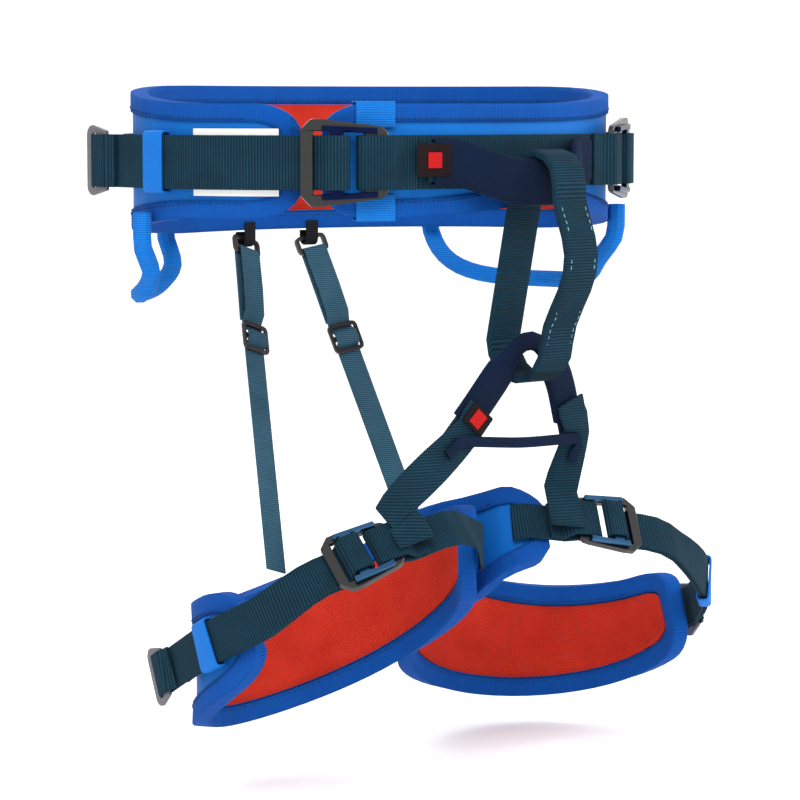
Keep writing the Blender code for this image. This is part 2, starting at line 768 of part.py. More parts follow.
def add_waist_adjusters():
    middle = WAIST.at(WAIST_BUCKLE_ANGLE)
    layers = WAIST_LAYERS
    buckle = WAIST_BUCKLE
    load_end = WAIST.at(LOAD_STRAND_END) - middle
    free_from = WAIST_KEEPER_PLACE + WAIST_KEEPER_LENGTH
    tail_track = WAIST_BELT.stopped_at(middle + free_from)
    between = (layers.load + layers.tail) / 2
    stop = TailStop(WAIST_WEBBING, layers, WAIST_TAIL_LENGTH)
    for side in ("left", "right"):
        mirror = side == "right"
        path = adjusting_path(buckle, layers, stop, load_end, 10 * MM)
        strap = shifted(strip(path, WAIST_WEBBING, WAIST_WEBBING_THICKNESS), middle)
        strap = bent(strap, WAIST_BELT, mirror, tail_track, between)
        add_piece(f"waist_adjusting_strap_{side}", strap, TEAL)
        place = WAIST_BELT.rigid(middle)
        add_piece(f"waist_buckle_frame_{side}", laid(buckle.frame(), place, mirror), BLACK)
        slider = laid(buckle.slider(), place, mirror)
        origin = place @ Vector((0, 0, buckle.slider_low))
        origin.x *= -1 if mirror else 1
        add_piece(f"waist_buckle_slider_{side}", slider, NAVY_METAL, origin)
        plate_mesh = shifted(stop.plate(), middle)
        add_piece(f"waist_tail_stop_{side}", bent(plate_mesh, tail_track, mirror), GREY)
        profile = keeper_profile(layers, WAIST_WEBBING)
        keeper = band(profile, WAIST_KEEPER_PLACE, WAIST_KEEPER_LENGTH, KEEPER_THICKNESS)
        keeper = bent(shifted(keeper, middle), WAIST_BELT, mirror)
        add_piece(f"waist_keeper_{side}", keeper, BLUE)


def add_front_belt():
    """The webbing across the front, sewn round the fixed bar of each waist buckle."""
    middle = WAIST.at(WAIST_BUCKLE_ANGLE) - WAIST.at(0)
    left = [(middle + q, t) for q, t in WAIST_BUCKLE.sewn_turn()]
    right = [(-s, t) for s, t in left]
    across = [(s, WAIST_LAYERS.load) for s in spaced(left[-1][0], right[-1][0], 6 * MM)[1:-1]]
    path = left + across + right[::-1]
    flat = shifted(strip(path, WAIST_WEBBING, WAIST_WEBBING_THICKNESS), WAIST.at(0))
    add_piece("waist_front_belt", bent(flat, WAIST_BELT), TEAL)


def add_waist_trim():
    layers = WAIST_LAYERS
    middle = WAIST.at(0) * 2 - WAIST.at(WAIST_BUCKLE_ANGLE)
    care = [(middle - q, layers.keeper_in) for q in spaced(28 * MM, 68 * MM, 14 * MM)]
    add_piece("care_label", bent(strip(care, 31 * MM, LABEL_THICKNESS), WAIST), WHITE)
    level = layers.skin + CLEARANCE + LABEL_THICKNESS / 2
    tongue = WAIST.at(-34.0)
    for name, edge, side in (("top", TONGUE_TOP, 1), ("bottom", TONGUE_BOTTOM, -1)):
        rim = edge + 2 * CLEARANCE + BINDING_THICKNESS + LABEL_THICKNESS / 2
        profile = [(edge - 10 * MM, level), (rim, level), (rim, -level), (edge - 6 * MM, -level)]
        profile = np.array(profile) * (side, 1)
        fold = band(profile, tongue - 8 * MM, 18 * MM, LABEL_THICKNESS, False)
        add_piece(f"pad_end_tab_{name}", bent(fold, WAIST), BLUE)


def add_gear_loops():
    """Stiffened tapes that hang from the outside of the pad in a wide U."""
    level = WAIST_LAYERS.skin + 2 * CLEARANCE + GEAR_TUBE_RADIUS
    for side, (first, last) in GEAR_LOOPS.items():
        a, b = WAIST.at(first), WAIST.at(last)
        u = np.linspace(0, math.pi, 25)
        s = (a + b) / 2 - (b - a) / 2 * np.sign(np.cos(u)) * np.abs(np.cos(u)) ** 0.6
        top = -24 * MM
        depth = WAIST_BACK_BOTTOM + top + GEAR_LOOP_DROP[side]
        y = top - depth * np.sin(u) ** 0.65
        t = level - GEAR_LOOP_TUCK * smooth_step((-y - WAIST_BACK_BOTTOM) / (20 * MM))
        points = WAIST.bend(np.stack([s, y, t], axis=1))
        curve = bpy.data.curves.new("gear", "CURVE")
        curve.dimensions = "3D"
        curve.bevel_depth = GEAR_TUBE_RADIUS
        curve.bevel_resolution = 2
        curve.use_fill_caps = True
        spline = curve.splines.new("POLY")
        spline.points.add(len(points) - 1)
        for point, place in zip(spline.points, points):
            point.co = (*place, 1.0)
        hinge = (points[0] + points[-1]) / 2
        mesh = evaluated(curve, [("WELD", {"merge_threshold": 1e-6})])
        add_piece(f"gear_loop_{side}", mesh, BLUE, hinge)


# ---------------------------------------------------------------- tie-in points and belay loop


def tie_in_line(half_length, level_base, step):
    """(s, y, t) points of the upper tie-in: it leaves the belt, stands out and sags a little."""
    s = spaced(-half_length, half_length, step)
    lift = smooth_step((TIE_IN_RISE - np.abs(s)) / (TIE_IN_RISE - TIE_IN_FLAT))
    t = level_base + (TIE_IN_REACH - level_base) * lift
    return np.stack([s + WAIST.at(0), -TIE_IN_SAG * lift, t], axis=1)


def add_upper_tie_in():
    belt_top = WAIST_LAYERS.load + WAIST_WEBBING_THICKNESS / 2
    base = belt_top + CLEARANCE + SLEEVE_THICKNESS / 2
    sleeve = tube(
        tie_in_line(TIE_IN_HALF_LENGTH, base, 6 * MM), SLEEVE_HEIGHT, SLEEVE_THICKNESS, SLEEVE_WALL
    )
    add_piece("upper_tie_in_sleeve", bent(sleeve, WAIST_BELT), NAVY_CLOTH)
    line = tie_in_line(TIE_IN_HALF_LENGTH, base, 6 * MM)
    core_end = np.array([[3 * MM, 0, 0]])
    line = np.vstack([line[:1] - core_end, line, line[-1:] + core_end])
    core = strip(line, SLEEVE_HEIGHT - 2 * SLEEVE_WALL - 2 * MM, WAIST_WEBBING_THICKNESS)
    add_piece("upper_tie_in_webbing", bent(core, WAIST_BELT), TEAL)
    level = base + SLEEVE_THICKNESS / 2 + CLEARANCE + LABEL_THICKNESS / 2
    tag = [(WAIST.at(0) + s, 1 * MM, level) for s in (-56 * MM, -51 * MM, -46 * MM, -41 * MM)]
    tag = bent(strip(tag, 15 * MM, LABEL_THICKNESS), WAIST_BELT)
    add_piece("upper_tie_in_label", tag, LABEL)


def yoke_track():
    """The middle line of the leg yoke, an arch that hangs on the belay loop."""
    shape = curve_through(np.array(YOKE_SHAPE) * MM, 61)
    x, z = shape.T
    y = YOKE_BACK_AT_FEET * (x / x.max()) ** 2
    points = HINGE_LOW + np.stack([x, y, z], axis=1)
    return Track(points, np.tile((0.0, -1.0, 0.0), (len(points), 1)))


def yoke_reach():
    """How far below its hinge the yoke sleeve reaches inside the belay loop."""
    edge = YOKE.points - YOKE.across * YOKE_APEX_HEIGHT / 2
    edge = np.vstack([edge, YOKE.points + YOKE.across * YOKE_APEX_HEIGHT / 2])
    inside = np.abs(edge[:, 0]) < BELAY_WIDTH / 2 + 1 * MM
    return float(np.max(HINGE_LOW[2] - edge[inside, 2]))


def belay_path():
    """(Y, Z) points of the belay loop: round the upper tie-in, down, and round the yoke."""
    top_radius = SLEEVE_HEIGHT / 2 + 2.5 * CLEARANCE + BELAY_THICKNESS / 2
    low_radius = yoke_reach() + BELAY_CLEARANCE + BELAY_THICKNESS / 2
    count = 8
    share = np.linspace(0, 1, count + 2)[1:-1]
    centre_y = HINGE_TOP[1] + (HINGE_LOW[1] - HINGE_TOP[1]) * share
    z = HINGE_TOP[2] + (HINGE_LOW[2] - HINGE_TOP[2]) * share
    half = top_radius + (low_radius - top_radius) * share
    bulge = half + BELAY_BULGE * np.sin(math.pi * share) ** 2
    top = turn_points(HINGE_TOP[1:], top_radius, 0, 180, 7)
    low = turn_points(HINGE_LOW[1:], low_radius, 180, 360, 9)
    front = np.stack([centre_y - bulge, z], axis=1)
    back = np.stack([centre_y + half, z], axis=1)[::-1]
    return np.vstack([top, front, low, back])


def add_belay_loop():
    flat = strip(belay_path(), BELAY_WIDTH, BELAY_THICKNESS, True)
    to_world = Matrix(((0, 1, 0, 0), (1, 0, 0, 0), (0, 0, 1, 0), (0, 0, 0, 1)))
    add_piece("belay_loop", laid(flat, to_world), TEAL, HINGE_TOP)


YOKE = yoke_track()
FRONT_STRAP_LEVEL = YOKE_DEPTH / 2 + 5 * CLEARANCE + LEG_WEBBING_THICKNESS / 2


def yoke_heights(line):
    """The sleeve's height along the yoke: it bunches up where it passes the belay loop."""
    from_apex = np.abs(np.array(line)[:, 0] - YOKE.length[-1] / 2)
    grown = smooth_step((from_apex - BELAY_WIDTH * 0.6) / (12 * MM))
    return YOKE_APEX_HEIGHT + (YOKE_SLEEVE_HEIGHT - YOKE_APEX_HEIGHT) * grown


def add_yoke():
    length = YOKE.length[-1]
    line = [(s, 0.0, 0.0) for s in spaced(0, length, 5 * MM)]
    sleeve = tube(line, yoke_heights(line), YOKE_DEPTH, SLEEVE_WALL)
    add_piece("yoke_sleeve", bent(sleeve, YOKE), NAVY_CLOTH, HINGE_LOW)
    core = [(s, 0.0) for s in spaced(-YOKE_TAIL, length + YOKE_TAIL, 5 * MM)]
    core_width = yoke_heights(core) - 2 * SLEEVE_WALL - 2 * MM
    flat = strip(core, core_width, LEG_WEBBING_THICKNESS)
    add_piece("yoke_webbing", bent(flat, YOKE), TEAL, HINGE_LOW)
    level = FRONT_STRAP_LEVEL + (LEG_WEBBING_THICKNESS + LABEL_THICKNESS) / 2 + CLEARANCE
    tag = [(s, 0.0, level) for s in (-1 * MM, 4 * MM, 9 * MM)]
    add_piece("yoke_label", bent(strip(tag, 14 * MM, LABEL_THICKNESS), YOKE), LABEL, HINGE_LOW)


def add_cross_strap():
    """The thin strap that ties the two leg straps together below the yoke."""
    left, right = (front_strap_track(leg) for leg in LEGS)
    level = (LEG_WEBBING_THICKNESS + CROSS_STRAP_THICKNESS) / 2 + 4 * CLEARANCE
    places = []
    normals = []
    far_end = (31.5 * MM, 25.5 * MM, 20 * MM)
    for track, ends in ((right, far_end), (left, far_end[::-1])):
        for s in ends:
            places.append(track.bend((s, 0, level)))
            normals.append(track.read(track.outward, s))
    places.insert(3, (places[2] + places[3]) / 2 - np.array([0, 0, 1 * MM]))
    normals.insert(3, np.array([0, -1.0, 0]))
    track = Track(curve_through(places, 50), curve_through(normals, 50))
    line = [(s, 0.0) for s in spaced(0, track.length[-1], 5 * MM)]
    flat = strip(line, CROSS_STRAP_WIDTH, CROSS_STRAP_THICKNESS)
    add_piece("cross_strap", bent(flat, track), NAVY_CLOTH, HINGE_LOW)


# ---------------------------------------------------------------- leg loops


def leg_half_height(leg, s):
    share = np.clip((s - leg.pad_from) / (leg.pad_to - leg.pad_from), 0, 1)
    return LEG_PAD_END_HALF + (LEG_PAD_MID_HALF - LEG_PAD_END_HALF) * np.sin(math.pi * share)


def add_leg_pad(leg):
    outline = pad_outline(
        leg.pad_from,
        leg.pad_to,
        lambda s: -leg_half_height(leg, s),
        lambda s: leg_half_height(leg, s),
        LEG_PAD_ROUNDING,
        8 * MM,
    )
    before = set(PARTS.objects)
    add_padding("leg", leg.track, outline, LEG_PAD_THICKNESS, 2, LEG_PAD_GAP)
    for piece in set(PARTS.objects) - before:
        piece.name = piece.name + "_" + leg.side


def add_leg_adjuster(leg):
    layers = LEG_LAYERS
    buckle = LEG_BUCKLE
    stop = TailStop(LEG_WEBBING, layers, LEG_TAIL_LENGTH)
    # The right tail hangs free past its keeper, and the left one lies along its loop.
    free_from = LEG_KEEPER_PLACE + LEG_KEEPER_LENGTH if leg.side == "right" else LEG_TAIL_LENGTH
    path = adjusting_path(buckle, layers, stop, 118 * MM, 8 * MM)
    between = (layers.load + layers.tail) / 2
    strap = strip(path, LEG_WEBBING, LEG_WEBBING_THICKNESS)
    track, start = leg.track, leg.start
    tail_track = track.stopped_at(start + free_from)
    strap = bent(shifted(strap, start), track, False, tail_track, between)
    add_piece(f"leg_adjusting_strap_{leg.side}", strap, TEAL)
    place = track.rigid(start)
    add_piece(f"leg_buckle_frame_{leg.side}", laid(buckle.frame(), place), BLACK)
    origin = place @ Vector((0, 0, buckle.slider_low))
    add_piece(
        f"leg_buckle_slider_{leg.side}", laid(buckle.slider(), place), STEEL_BLUE, origin
    )
    plate_mesh = shifted(stop.plate(), start)
    add_piece(f"leg_tail_stop_{leg.side}", bent(plate_mesh, tail_track), GREY)
    keeper = band(
        keeper_profile(layers, LEG_WEBBING), LEG_KEEPER_PLACE, LEG_KEEPER_LENGTH, KEEPER_THICKNESS
    )
    add_piece(f"leg_keeper_{leg.side}", bent(shifted(keeper, start), track), BLUE)


def add_leg_inner_strap(leg):
    """The strap from the pad's inner end to the buckle, folded round its fixed bar."""
    fold = LEG_BUCKLE.sewn_turn()
    first = leg.reach + LEG_INNER_OVERLAP
    line = [(-q, LEG_LAYERS.load) for q in spaced(first, -fold[-1][0], 8 * MM)[:-1]]
    flat = shifted(strip(line + fold[::-1], LEG_WEBBING, LEG_WEBBING_THICKNESS), leg.start)
    add_piece(f"leg_inner_strap_{leg.side}", bent(flat, leg.track), TEAL, HINGE_LOW)


def front_strap_track(leg):
    """From the foot of the yoke down to the leg loop, where it lies flat on the inner strap."""
    end = YOKE.length[-1] if leg.sign > 0 else 0.0
    from_yoke = np.array((-9, -2, 8)) * MM * leg.sign + end
    top = YOKE.bend(np.stack([from_yoke, 0 * from_yoke, 0 * from_yoke + FRONT_STRAP_LEVEL], 1))
    level = LEG_BUCKLE.fold_top + 2 * CLEARANCE + LEG_WEBBING_THICKNESS / 2
    rises = np.array((15, 8, 0, -8)) * MM * leg.sign
    place = 0 * rises + leg.start + FRONT_STRAP_PLACE
    on_ring = leg.track.bend(np.stack([place, rises, 0 * rises + level], axis=1))
    normals = np.vstack([np.tile((0, -1, 0), (3, 1)), leg.track.read(leg.track.outward, place)])
    return Track(curve_through(np.vstack([top, on_ring]), 120), curve_through(normals, 120))


def add_leg_front_strap(leg):
    """The strap from the yoke down to the leg loop, sewn over the inner strap."""
    track = front_strap_track(leg)
    line = [(s, 0.0) for s in spaced(0.0, track.length[-1], 6 * MM)]
    flat = strip(line, FRONT_STRAP_WIDTH, LEG_WEBBING_THICKNESS)
    add_piece(f"leg_front_strap_{leg.side}", bent(flat, track), TEAL, HINGE_LOW)


# ---------------------------------------------------------------- risers


def plate_with_slots(width, length, bars, slot_half):
    """(edge, slots) outlines of a strap plate whose bars are (start, end) along its length."""
    edge = rounded_box(length, width, 2.5 * MM, 3)
    edge[:, 0] += length / 2
    slots = []
    for (_, near), (far, _) in zip(bars, bars[1:]):
        slots.append([(near, -slot_half), (far, -slot_half), (far, slot_half), (near, slot_half)])
    return [edge] + slots


def add_riser(side, angle):
    """The tab on the waist, its ring, the elastic and the tri-glide that adjusts it."""
    s = WAIST.at(angle)
    hang = WAIST.bend((s, 0, 0))
    inward = -WAIST.read(WAIST.outward, s)
    drop = np.array([0, 0, -1.0])
    top = 30 * MM
    tab_track = Track(hang + drop * np.array([[top], [top + 40 * MM]]), np.tile(inward, (2, 1)))
    tab_level = WAIST_LAYERS.skin + CLEARANCE + RISER_TAB_THICKNESS / 2
    bar = RISER_BAR
    turn = 0.71 * bar + RISER_TAB_SLACK + RISER_TAB_THICKNESS / 2
    ring_level = tab_level - turn
    ring_top = -RISER_TOP - top - 3 * MM + bar / 2
    tab = [(4 * MM, tab_level), (9 * MM, tab_level)]
    tab += turn_points((ring_top, ring_level), turn, 90, -90, 7)
    tab += [(WAIST_BACK_BOTTOM + 2.2 * MM - top, ring_level - turn)]
    flat = strip(tab, 7 * MM, RISER_TAB_THICKNESS)
    add_piece(f"riser_tab_{side}", bent(flat, tab_track), BLACK)
    pivot = tab_track.bend((ring_top, 0, ring_level))
    leg = next(leg for leg in LEGS if leg.side == side)
    foot_s = leg.place(RISER_FOOT_ANGLES[side])
    edge = leg_half_height(leg, foot_s) + RISER_FOOT_GAP
    end = leg.track.bend((foot_s, edge * leg.sign, 0))
    begin = pivot + unit(end - pivot) * (RISER_RING_LENGTH - bar)
    track = Track([begin, end], np.tile(inward, (2, 1)))
    ring_bars = [(0, bar), (RISER_RING_LENGTH - bar, RISER_RING_LENGTH)]
    outlines = plate_with_slots(RISER_WIDTH + 5 * MM, RISER_RING_LENGTH, ring_bars, 6.9 * MM)
    ring = shifted(plate(outlines, -bar / 2, bar / 2), bar / 2 - RISER_RING_LENGTH)
    add_piece(f"riser_ring_{side}", bent(ring, track), BLACK, pivot)
    wrap = 0.71 * bar + CLEARANCE + RISER_THICKNESS / 2
    weave = (RISER_GLIDE_THICKNESS + RISER_THICKNESS) / 2 + CLEARANCE
    path = [(RISER_LOOP - 2 * MM, -weave - RISER_THICKNESS - CLEARANCE)]
    path += [(RISER_LOOP / 2, -wrap - 0.4 * MM)]
    path += turn_points((0, 0), wrap, 270, 90, 7)
    path += [(RISER_LOOP / 2, wrap), (RISER_LOOP - 6 * MM, wrap * 0.6)]
    for step, level in ((-1, -weave), (2.9, -weave), (5.6, weave), (10.4, weave), (13.1, -weave)):
        path += [(RISER_LOOP + step * MM, level)]
    path += [(s, -weave) for s in spaced(RISER_LOOP + 18 * MM, track.length[-1], 30 * MM)]
    strap = strip(path, RISER_WIDTH, RISER_THICKNESS)
    add_piece(f"riser_elastic_{side}", bent(strap, track), ELASTIC, pivot)
    glide_bars = [(0, 2.2 * MM), (6.6 * MM, 9.4 * MM), (13.8 * MM, 16 * MM)]
    outlines = plate_with_slots(RISER_WIDTH + 4.6 * MM, 16 * MM, glide_bars, 6.9 * MM)
    half = RISER_GLIDE_THICKNESS / 2
    glide_plate = shifted(plate(outlines, -half, half, 0.3 * MM), RISER_LOOP)
    origin = track.bend((RISER_LOOP + 8 * MM, 0, 0))
    add_piece(f"riser_tri_glide_{side}", bent(glide_plate, track), BLACK, origin)


def clear_scene():
    for piece in list(bpy.data.objects):
        bpy.data.objects.remove(piece)


clear_scene()
PARTS = bpy.data.collections.new("climbing_harness")
bpy.context.scene.collection.children.link(PARTS)
add_waist_pad()
add_waist_adjusters()
add_front_belt()
add_waist_trim()
add_gear_loops()
add_upper_tie_in()
add_belay_loop()
add_yoke()
add_cross_strap()
for one_leg in LEGS:
    add_leg_pad(one_leg)
    add_leg_adjuster(one_leg)
    add_leg_front_strap(one_leg)
    add_leg_inner_strap(one_leg)
for riser_side, riser_angle in RISER_ANGLES.items():
    add_riser(riser_side, riser_angle)
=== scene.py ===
"""A two-buckle climbing harness dressed for a studio picture: woven, knitted, moulded and plated finishes."""

import json
import logging
import math
from dataclasses import dataclass, field
from enum import Enum

import bmesh
import bpy
import numpy as np
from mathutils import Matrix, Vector, kdtree


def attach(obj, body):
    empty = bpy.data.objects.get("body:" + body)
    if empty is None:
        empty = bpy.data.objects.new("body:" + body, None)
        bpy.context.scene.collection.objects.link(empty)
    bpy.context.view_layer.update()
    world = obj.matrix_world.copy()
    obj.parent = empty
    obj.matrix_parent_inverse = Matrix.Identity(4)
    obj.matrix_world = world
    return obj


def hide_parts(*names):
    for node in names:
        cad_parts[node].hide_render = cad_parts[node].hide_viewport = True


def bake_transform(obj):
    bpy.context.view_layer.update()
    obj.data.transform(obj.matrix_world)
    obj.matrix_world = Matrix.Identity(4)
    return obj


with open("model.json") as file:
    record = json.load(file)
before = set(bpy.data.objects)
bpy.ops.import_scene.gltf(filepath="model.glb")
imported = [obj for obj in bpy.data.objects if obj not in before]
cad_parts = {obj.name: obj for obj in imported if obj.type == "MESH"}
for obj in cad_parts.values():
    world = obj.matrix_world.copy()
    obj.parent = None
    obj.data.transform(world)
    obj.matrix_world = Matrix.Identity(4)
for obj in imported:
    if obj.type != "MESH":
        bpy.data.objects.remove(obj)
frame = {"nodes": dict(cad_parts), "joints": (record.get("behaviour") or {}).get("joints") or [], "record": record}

LOG = logging.getLogger("harness")
MM = 0.001
SIDES = ("left", "right")
UP = np.array([0.0, 0.0, 1.0])
MIRROR = np.array([-1.0, 1.0, 1.0])
# The studio is turned this far round the harness, so that the camera looks at its front right.
STUDIO_TURN = math.radians(-42.0)
# Threads of a weave: the ones that stand out, and the fainter ones that cross them.
STRONG, FAINT = 0.4, 0.1
# A CAD facet joins its neighbour into a quad within these angles, in radians.
QUAD_FACE_ANGLE, QUAD_SHAPE_ANGLE = 0.7, 3.2
# Simple subdivisions of each strap and pad.
FINER_LEVELS = 2
# How much of its track a leg loop's pieces lie on, before and after the buckle, and a pad past its ends.
LEG_BEFORE, LEG_AFTER, PAD_SPARE = 0.2, 0.25, 5 * MM


def smooth_step(u: np.ndarray) -> np.ndarray:
    """Args: u, any values. Returns: 0 below 0, 1 above 1, and 3u^2 - 2u^3 between."""
    u = np.clip(u, 0, 1)
    return u * u * (3 - 2 * u)


def unit(v: np.ndarray) -> np.ndarray:
    """Args: v, rows of vectors. Returns: the same directions, each of length 1."""
    return v / np.linalg.norm(v, axis=-1, keepdims=True)


def celled(values: np.ndarray, low: float, high: float, count: int) -> tuple:
    """Sorts values into equal cells.

    Args:
        values: one number for each point.
        low: where the first cell starts.
        high: where the last cell ends.
        count: how many cells there are.

    Returns:
        the edges of the cells, the middle of each, and the cell that each value is in.
    """
    edges = np.linspace(low, high, count + 1)
    which = np.clip(np.digitize(values, edges) - 1, 0, count - 1)
    return edges, (edges[:-1] + edges[1:]) / 2, which


# ---------------------------------------------------------------- tracks


@dataclass
class Track:
    """A curve with an outward side, on which a flat place is (s along, y across, t outwards)."""

    points: np.ndarray
    outward: np.ndarray
    along: np.ndarray = field(init=False)
    across: np.ndarray = field(init=False)
    length: np.ndarray = field(init=False)

    def __post_init__(self) -> None:
        """Measures the length along the points and sets the directions."""
        steps = np.linalg.norm(np.diff(self.points, axis=0), axis=1)
        self.length = np.concatenate([[0.0], np.cumsum(steps)])
        self.along = unit(np.gradient(self.points, self.length, axis=0))
        self.square()

    def square(self) -> None:
        """Makes outward square to along, and across square to both."""
        lean = np.sum(self.outward * self.along, axis=1, keepdims=True)
        self.outward = unit(self.outward - self.along * lean)
        self.across = np.cross(self.outward, self.along)

    def share_near(self, s: float, before: tuple, after: tuple) -> np.ndarray:
        """How far a change round s applies to each point.

        Args:
            s: the length at which the change is centred.
            before: (hold, reach) on the side below s.
            after: (hold, reach) on the side above s.

        Returns:
            a column that is 1 within hold and eases to 0 at reach.
        """
        away = self.length - s
        hold = np.where(away < 0, before[0], after[0])
        reach = np.where(away < 0, before[1], after[1])
        return 1 - smooth_step((np.abs(away) - hold) / (reach - hold))[:, None]

    def read(self, table: np.ndarray, s: np.ndarray) -> np.ndarray:
        """Args: table, one row per point. Returns: its rows at the lengths s."""
        return np.stack([np.interp(s, self.length, c) for c in table.T], axis=-1)

    def flattened(self, s: float, before: tuple, after: tuple, sink: float) -> "Track":
        """Lays a stretch of the track straight.

        Args:
            s: the length at which the stretch is centred.
            before: (hold, reach) on the side below s.
            after: (hold, reach) on the side above s.
            sink: how far inwards the straight stretch moves.

        Returns:
            a new track that eases from the straight stretch back to the curve.
        """
        share = self.share_near(s, before, after)
        along, outward = self.read(self.along, s), self.read(self.outward, s)
        line = self.read(self.points, s) + along * (self.length - s)[:, None] - outward * sink
        made = Track(self.points.copy(), self.outward.copy())
        made.points = line * share + self.points * (1 - share)
        made.along = unit(along * share + self.along * (1 - share))
        made.outward = outward * share + self.outward * (1 - share)
        made.square()
        return made

    def turned_up(self, s: float, degrees: float, before: tuple, after: tuple) -> "Track":
        """Rolls the track so that its outward side turns up.

        Args:
            s: the length at which the roll is centred.
            degrees: the roll there.
            before: (hold, reach) on the side below s.
            after: (hold, reach) on the side above s.

        Returns:
            this track.
        """
        roll = math.radians(degrees) * self.share_near(s, before, after)
        self.outward = self.outward * np.cos(roll) + UP * np.sin(roll)
        self.square()
        return self

    def bend(self, flat: np.ndarray) -> np.ndarray:
        """Takes flat places into space.

        Args:
            flat: (s, y, t) rows.

        Returns:
            points in space.
        """
        s = flat[:, 0]
        sideways = self.read(self.across, s) * flat[:, 1:2]
        return self.read(self.points, s) + sideways + self.read(self.outward, s) * flat[:, 2:]

    def flat(self, points: np.ndarray, window: tuple) -> np.ndarray:
        """Takes points in space to their flat places.

        Args:
            points: points in space.
            window: the stretch of the track that they lie on.

        Returns:
            (s, y, t) rows.
        """
        kept = np.flatnonzero((self.length >= window[0]) & (self.length <= window[1]))
        tree = kdtree.KDTree(len(kept))
        for i, k in enumerate(kept):
            tree.insert(self.points[k], i)
        tree.balance()
        near = kept[[tree.find(p)[1] for p in points]]
        away = points - self.points[near]
        s = self.length[near] + np.sum(away * self.along[near], axis=1)
        y, t = (np.sum(away * v[near], axis=1) for v in (self.across, self.outward))
        return np.stack([s, y, t], axis=1)


def ring(half_width: float, half_depth: float, centre: tuple, tilt: float, high_at: float) -> tuple:
    """An ellipse round the body, over three turns so that no piece crosses its ends.

    Args:
        half_width: half its size from side to side.
        half_depth: half its size from front to back.
        centre: its middle.
        tilt: how far its high side stands above its middle.
        high_at: the angle of that side, in degrees.

    Returns:
        its track, and the angle in degrees of each point.
    """
    angles = np.linspace(-360.0, 720.0, 1441)
    phi = np.radians(angles)
    x = centre[0] + half_width * np.sin(phi)
    y = centre[1] - half_depth * np.cos(phi)
    z = centre[2] + tilt * np.cos(phi - math.radians(high_at))
    outward = np.stack([half_depth * np.sin(phi), -half_width * np.cos(phi), 0 * phi], axis=1)
    return Track(np.stack([x, y, z], axis=1), outward), angles


def lengths_at(track: Track, angles: np.ndarray, wanted: tuple) -> tuple:
    """Returns: the lengths along a ring's track at the wanted angles."""
    return tuple(float(np.interp(angle, angles, track.length)) for angle in wanted)


@dataclass(frozen=True)
class LegSize:
    """How one leg loop lies: its ring, and the angles of its buckle and pad in degrees."""

    side: str
    radius: float
    centre: tuple
    tilt: float
    high_at: float
    buckle: float
    pad: tuple
    turned: float
    ended: float

    def track(self) -> tuple:
        """Lays the leg's track, which runs straight and turns up at its buckle.

        Returns:
            the track, the buckle's place on it and the pad's stretch.
        """
        centre = tuple(c * MM for c in self.centre)
        track, angles = ring(self.radius, self.radius, centre, self.tilt, self.high_at)
        total = track.length[-1]
        places = lengths_at(track, angles, (self.buckle, *self.pad))
        if self.side == "right":
            track = Track(track.points[::-1].copy(), track.outward[::-1].copy())
            places = tuple(total - place for place in places)
        start = places[0]
        track = track.flattened(start, (38 * MM, 64 * MM), (20 * MM, 46 * MM), 4 * MM)
        track.turned_up(start, self.turned, (38 * MM, 82 * MM), (20 * MM, self.ended))
        return track, start, tuple(sorted(places[1:]))


LEGS = (
    LegSize("left", 71 * MM, (74, -49, -219), 38 * MM, -40.0, 336.0, (68.0, 312.0), 44.0, 75 * MM),
    LegSize("right", 63 * MM, (-71, -51, -210), 34 * MM, 14.0, -27.0, (46.0, 281.0), 50.0, 55 * MM),
)


# ---------------------------------------------------------------- pattern maps


class Map:
    """Gives each point of a piece its place on the flat cloth, in metres."""

    def read(self, points: np.ndarray) -> np.ndarray:
        """Args: points in space. Returns: (u along, v across) rows."""
        raise NotImplementedError


@dataclass
class TrackMap(Map):
    """Cloth laid along a track."""

    track: Track
    window: tuple
    mirror: bool = False

    def places(self, points: np.ndarray) -> np.ndarray:
        """Returns: (s, y, t) rows, reflected first on a mirrored piece."""
        turned = points * MIRROR if self.mirror else points
        return self.track.flat(turned, self.window)

    def read(self, points: np.ndarray) -> np.ndarray:
        """Returns: (s, y) rows."""
        return self.places(points)[:, :2]


@dataclass
class PlaneMap(Map):
    """Cloth that hangs nearly flat: u runs along one direction and v along another."""

    u: tuple
    v: tuple

    def read(self, points: np.ndarray) -> np.ndarray:
        """Returns: the points' lengths along the two directions."""
        return np.stack([points @ unit(np.array(way, float)) for way in (self.u, self.v)], axis=1)


@dataclass
class LoopMap(Map):
    """A closed loop in the Y-Z plane: u is the length round it, from its angle, and v is X."""

    sectors: int = 60

    def read(self, points: np.ndarray) -> np.ndarray:
        """Reads the length from the middle line of the loop.

        Args:
            points: points in space.

        Returns:
            (u, v) rows.
        """
        centre = (points.min(0) + points.max(0)) / 2
        y, z = points[:, 1] - centre[1], points[:, 2] - centre[2]
        angle = np.arctan2(y, z)
        order = np.argsort(angle)
        line = points[order][:, 1:]
        bins = np.linspace(-math.pi, math.pi, self.sectors + 1)
        which = np.digitize(angle[order], bins) - 1
        good = [k for k in range(self.sectors) if np.any(which == k)]
        middle = np.array([line[which == k].mean(0) for k in good])
        steps = np.linalg.norm(np.diff(middle, axis=0), axis=1)
        u = np.interp(angle, (bins[:-1] + bins[1:])[good] / 2, np.concatenate([[0.0], np.cumsum(steps)]))
        return np.stack([u, points[:, 0]], axis=1)


# ---------------------------------------------------------------- finishes


def linear(colour: str) -> tuple:
    """Args: colour, an sRGB hex. Returns: linear RGBA."""
    srgb = [int(colour[i : i + 2], 16) / 255 for i in (1, 3, 5)]
    return (*(c / 12.92 if c <= 0.04045 else ((c + 0.055) / 1.055) ** 2.4 for c in srgb), 1.0)


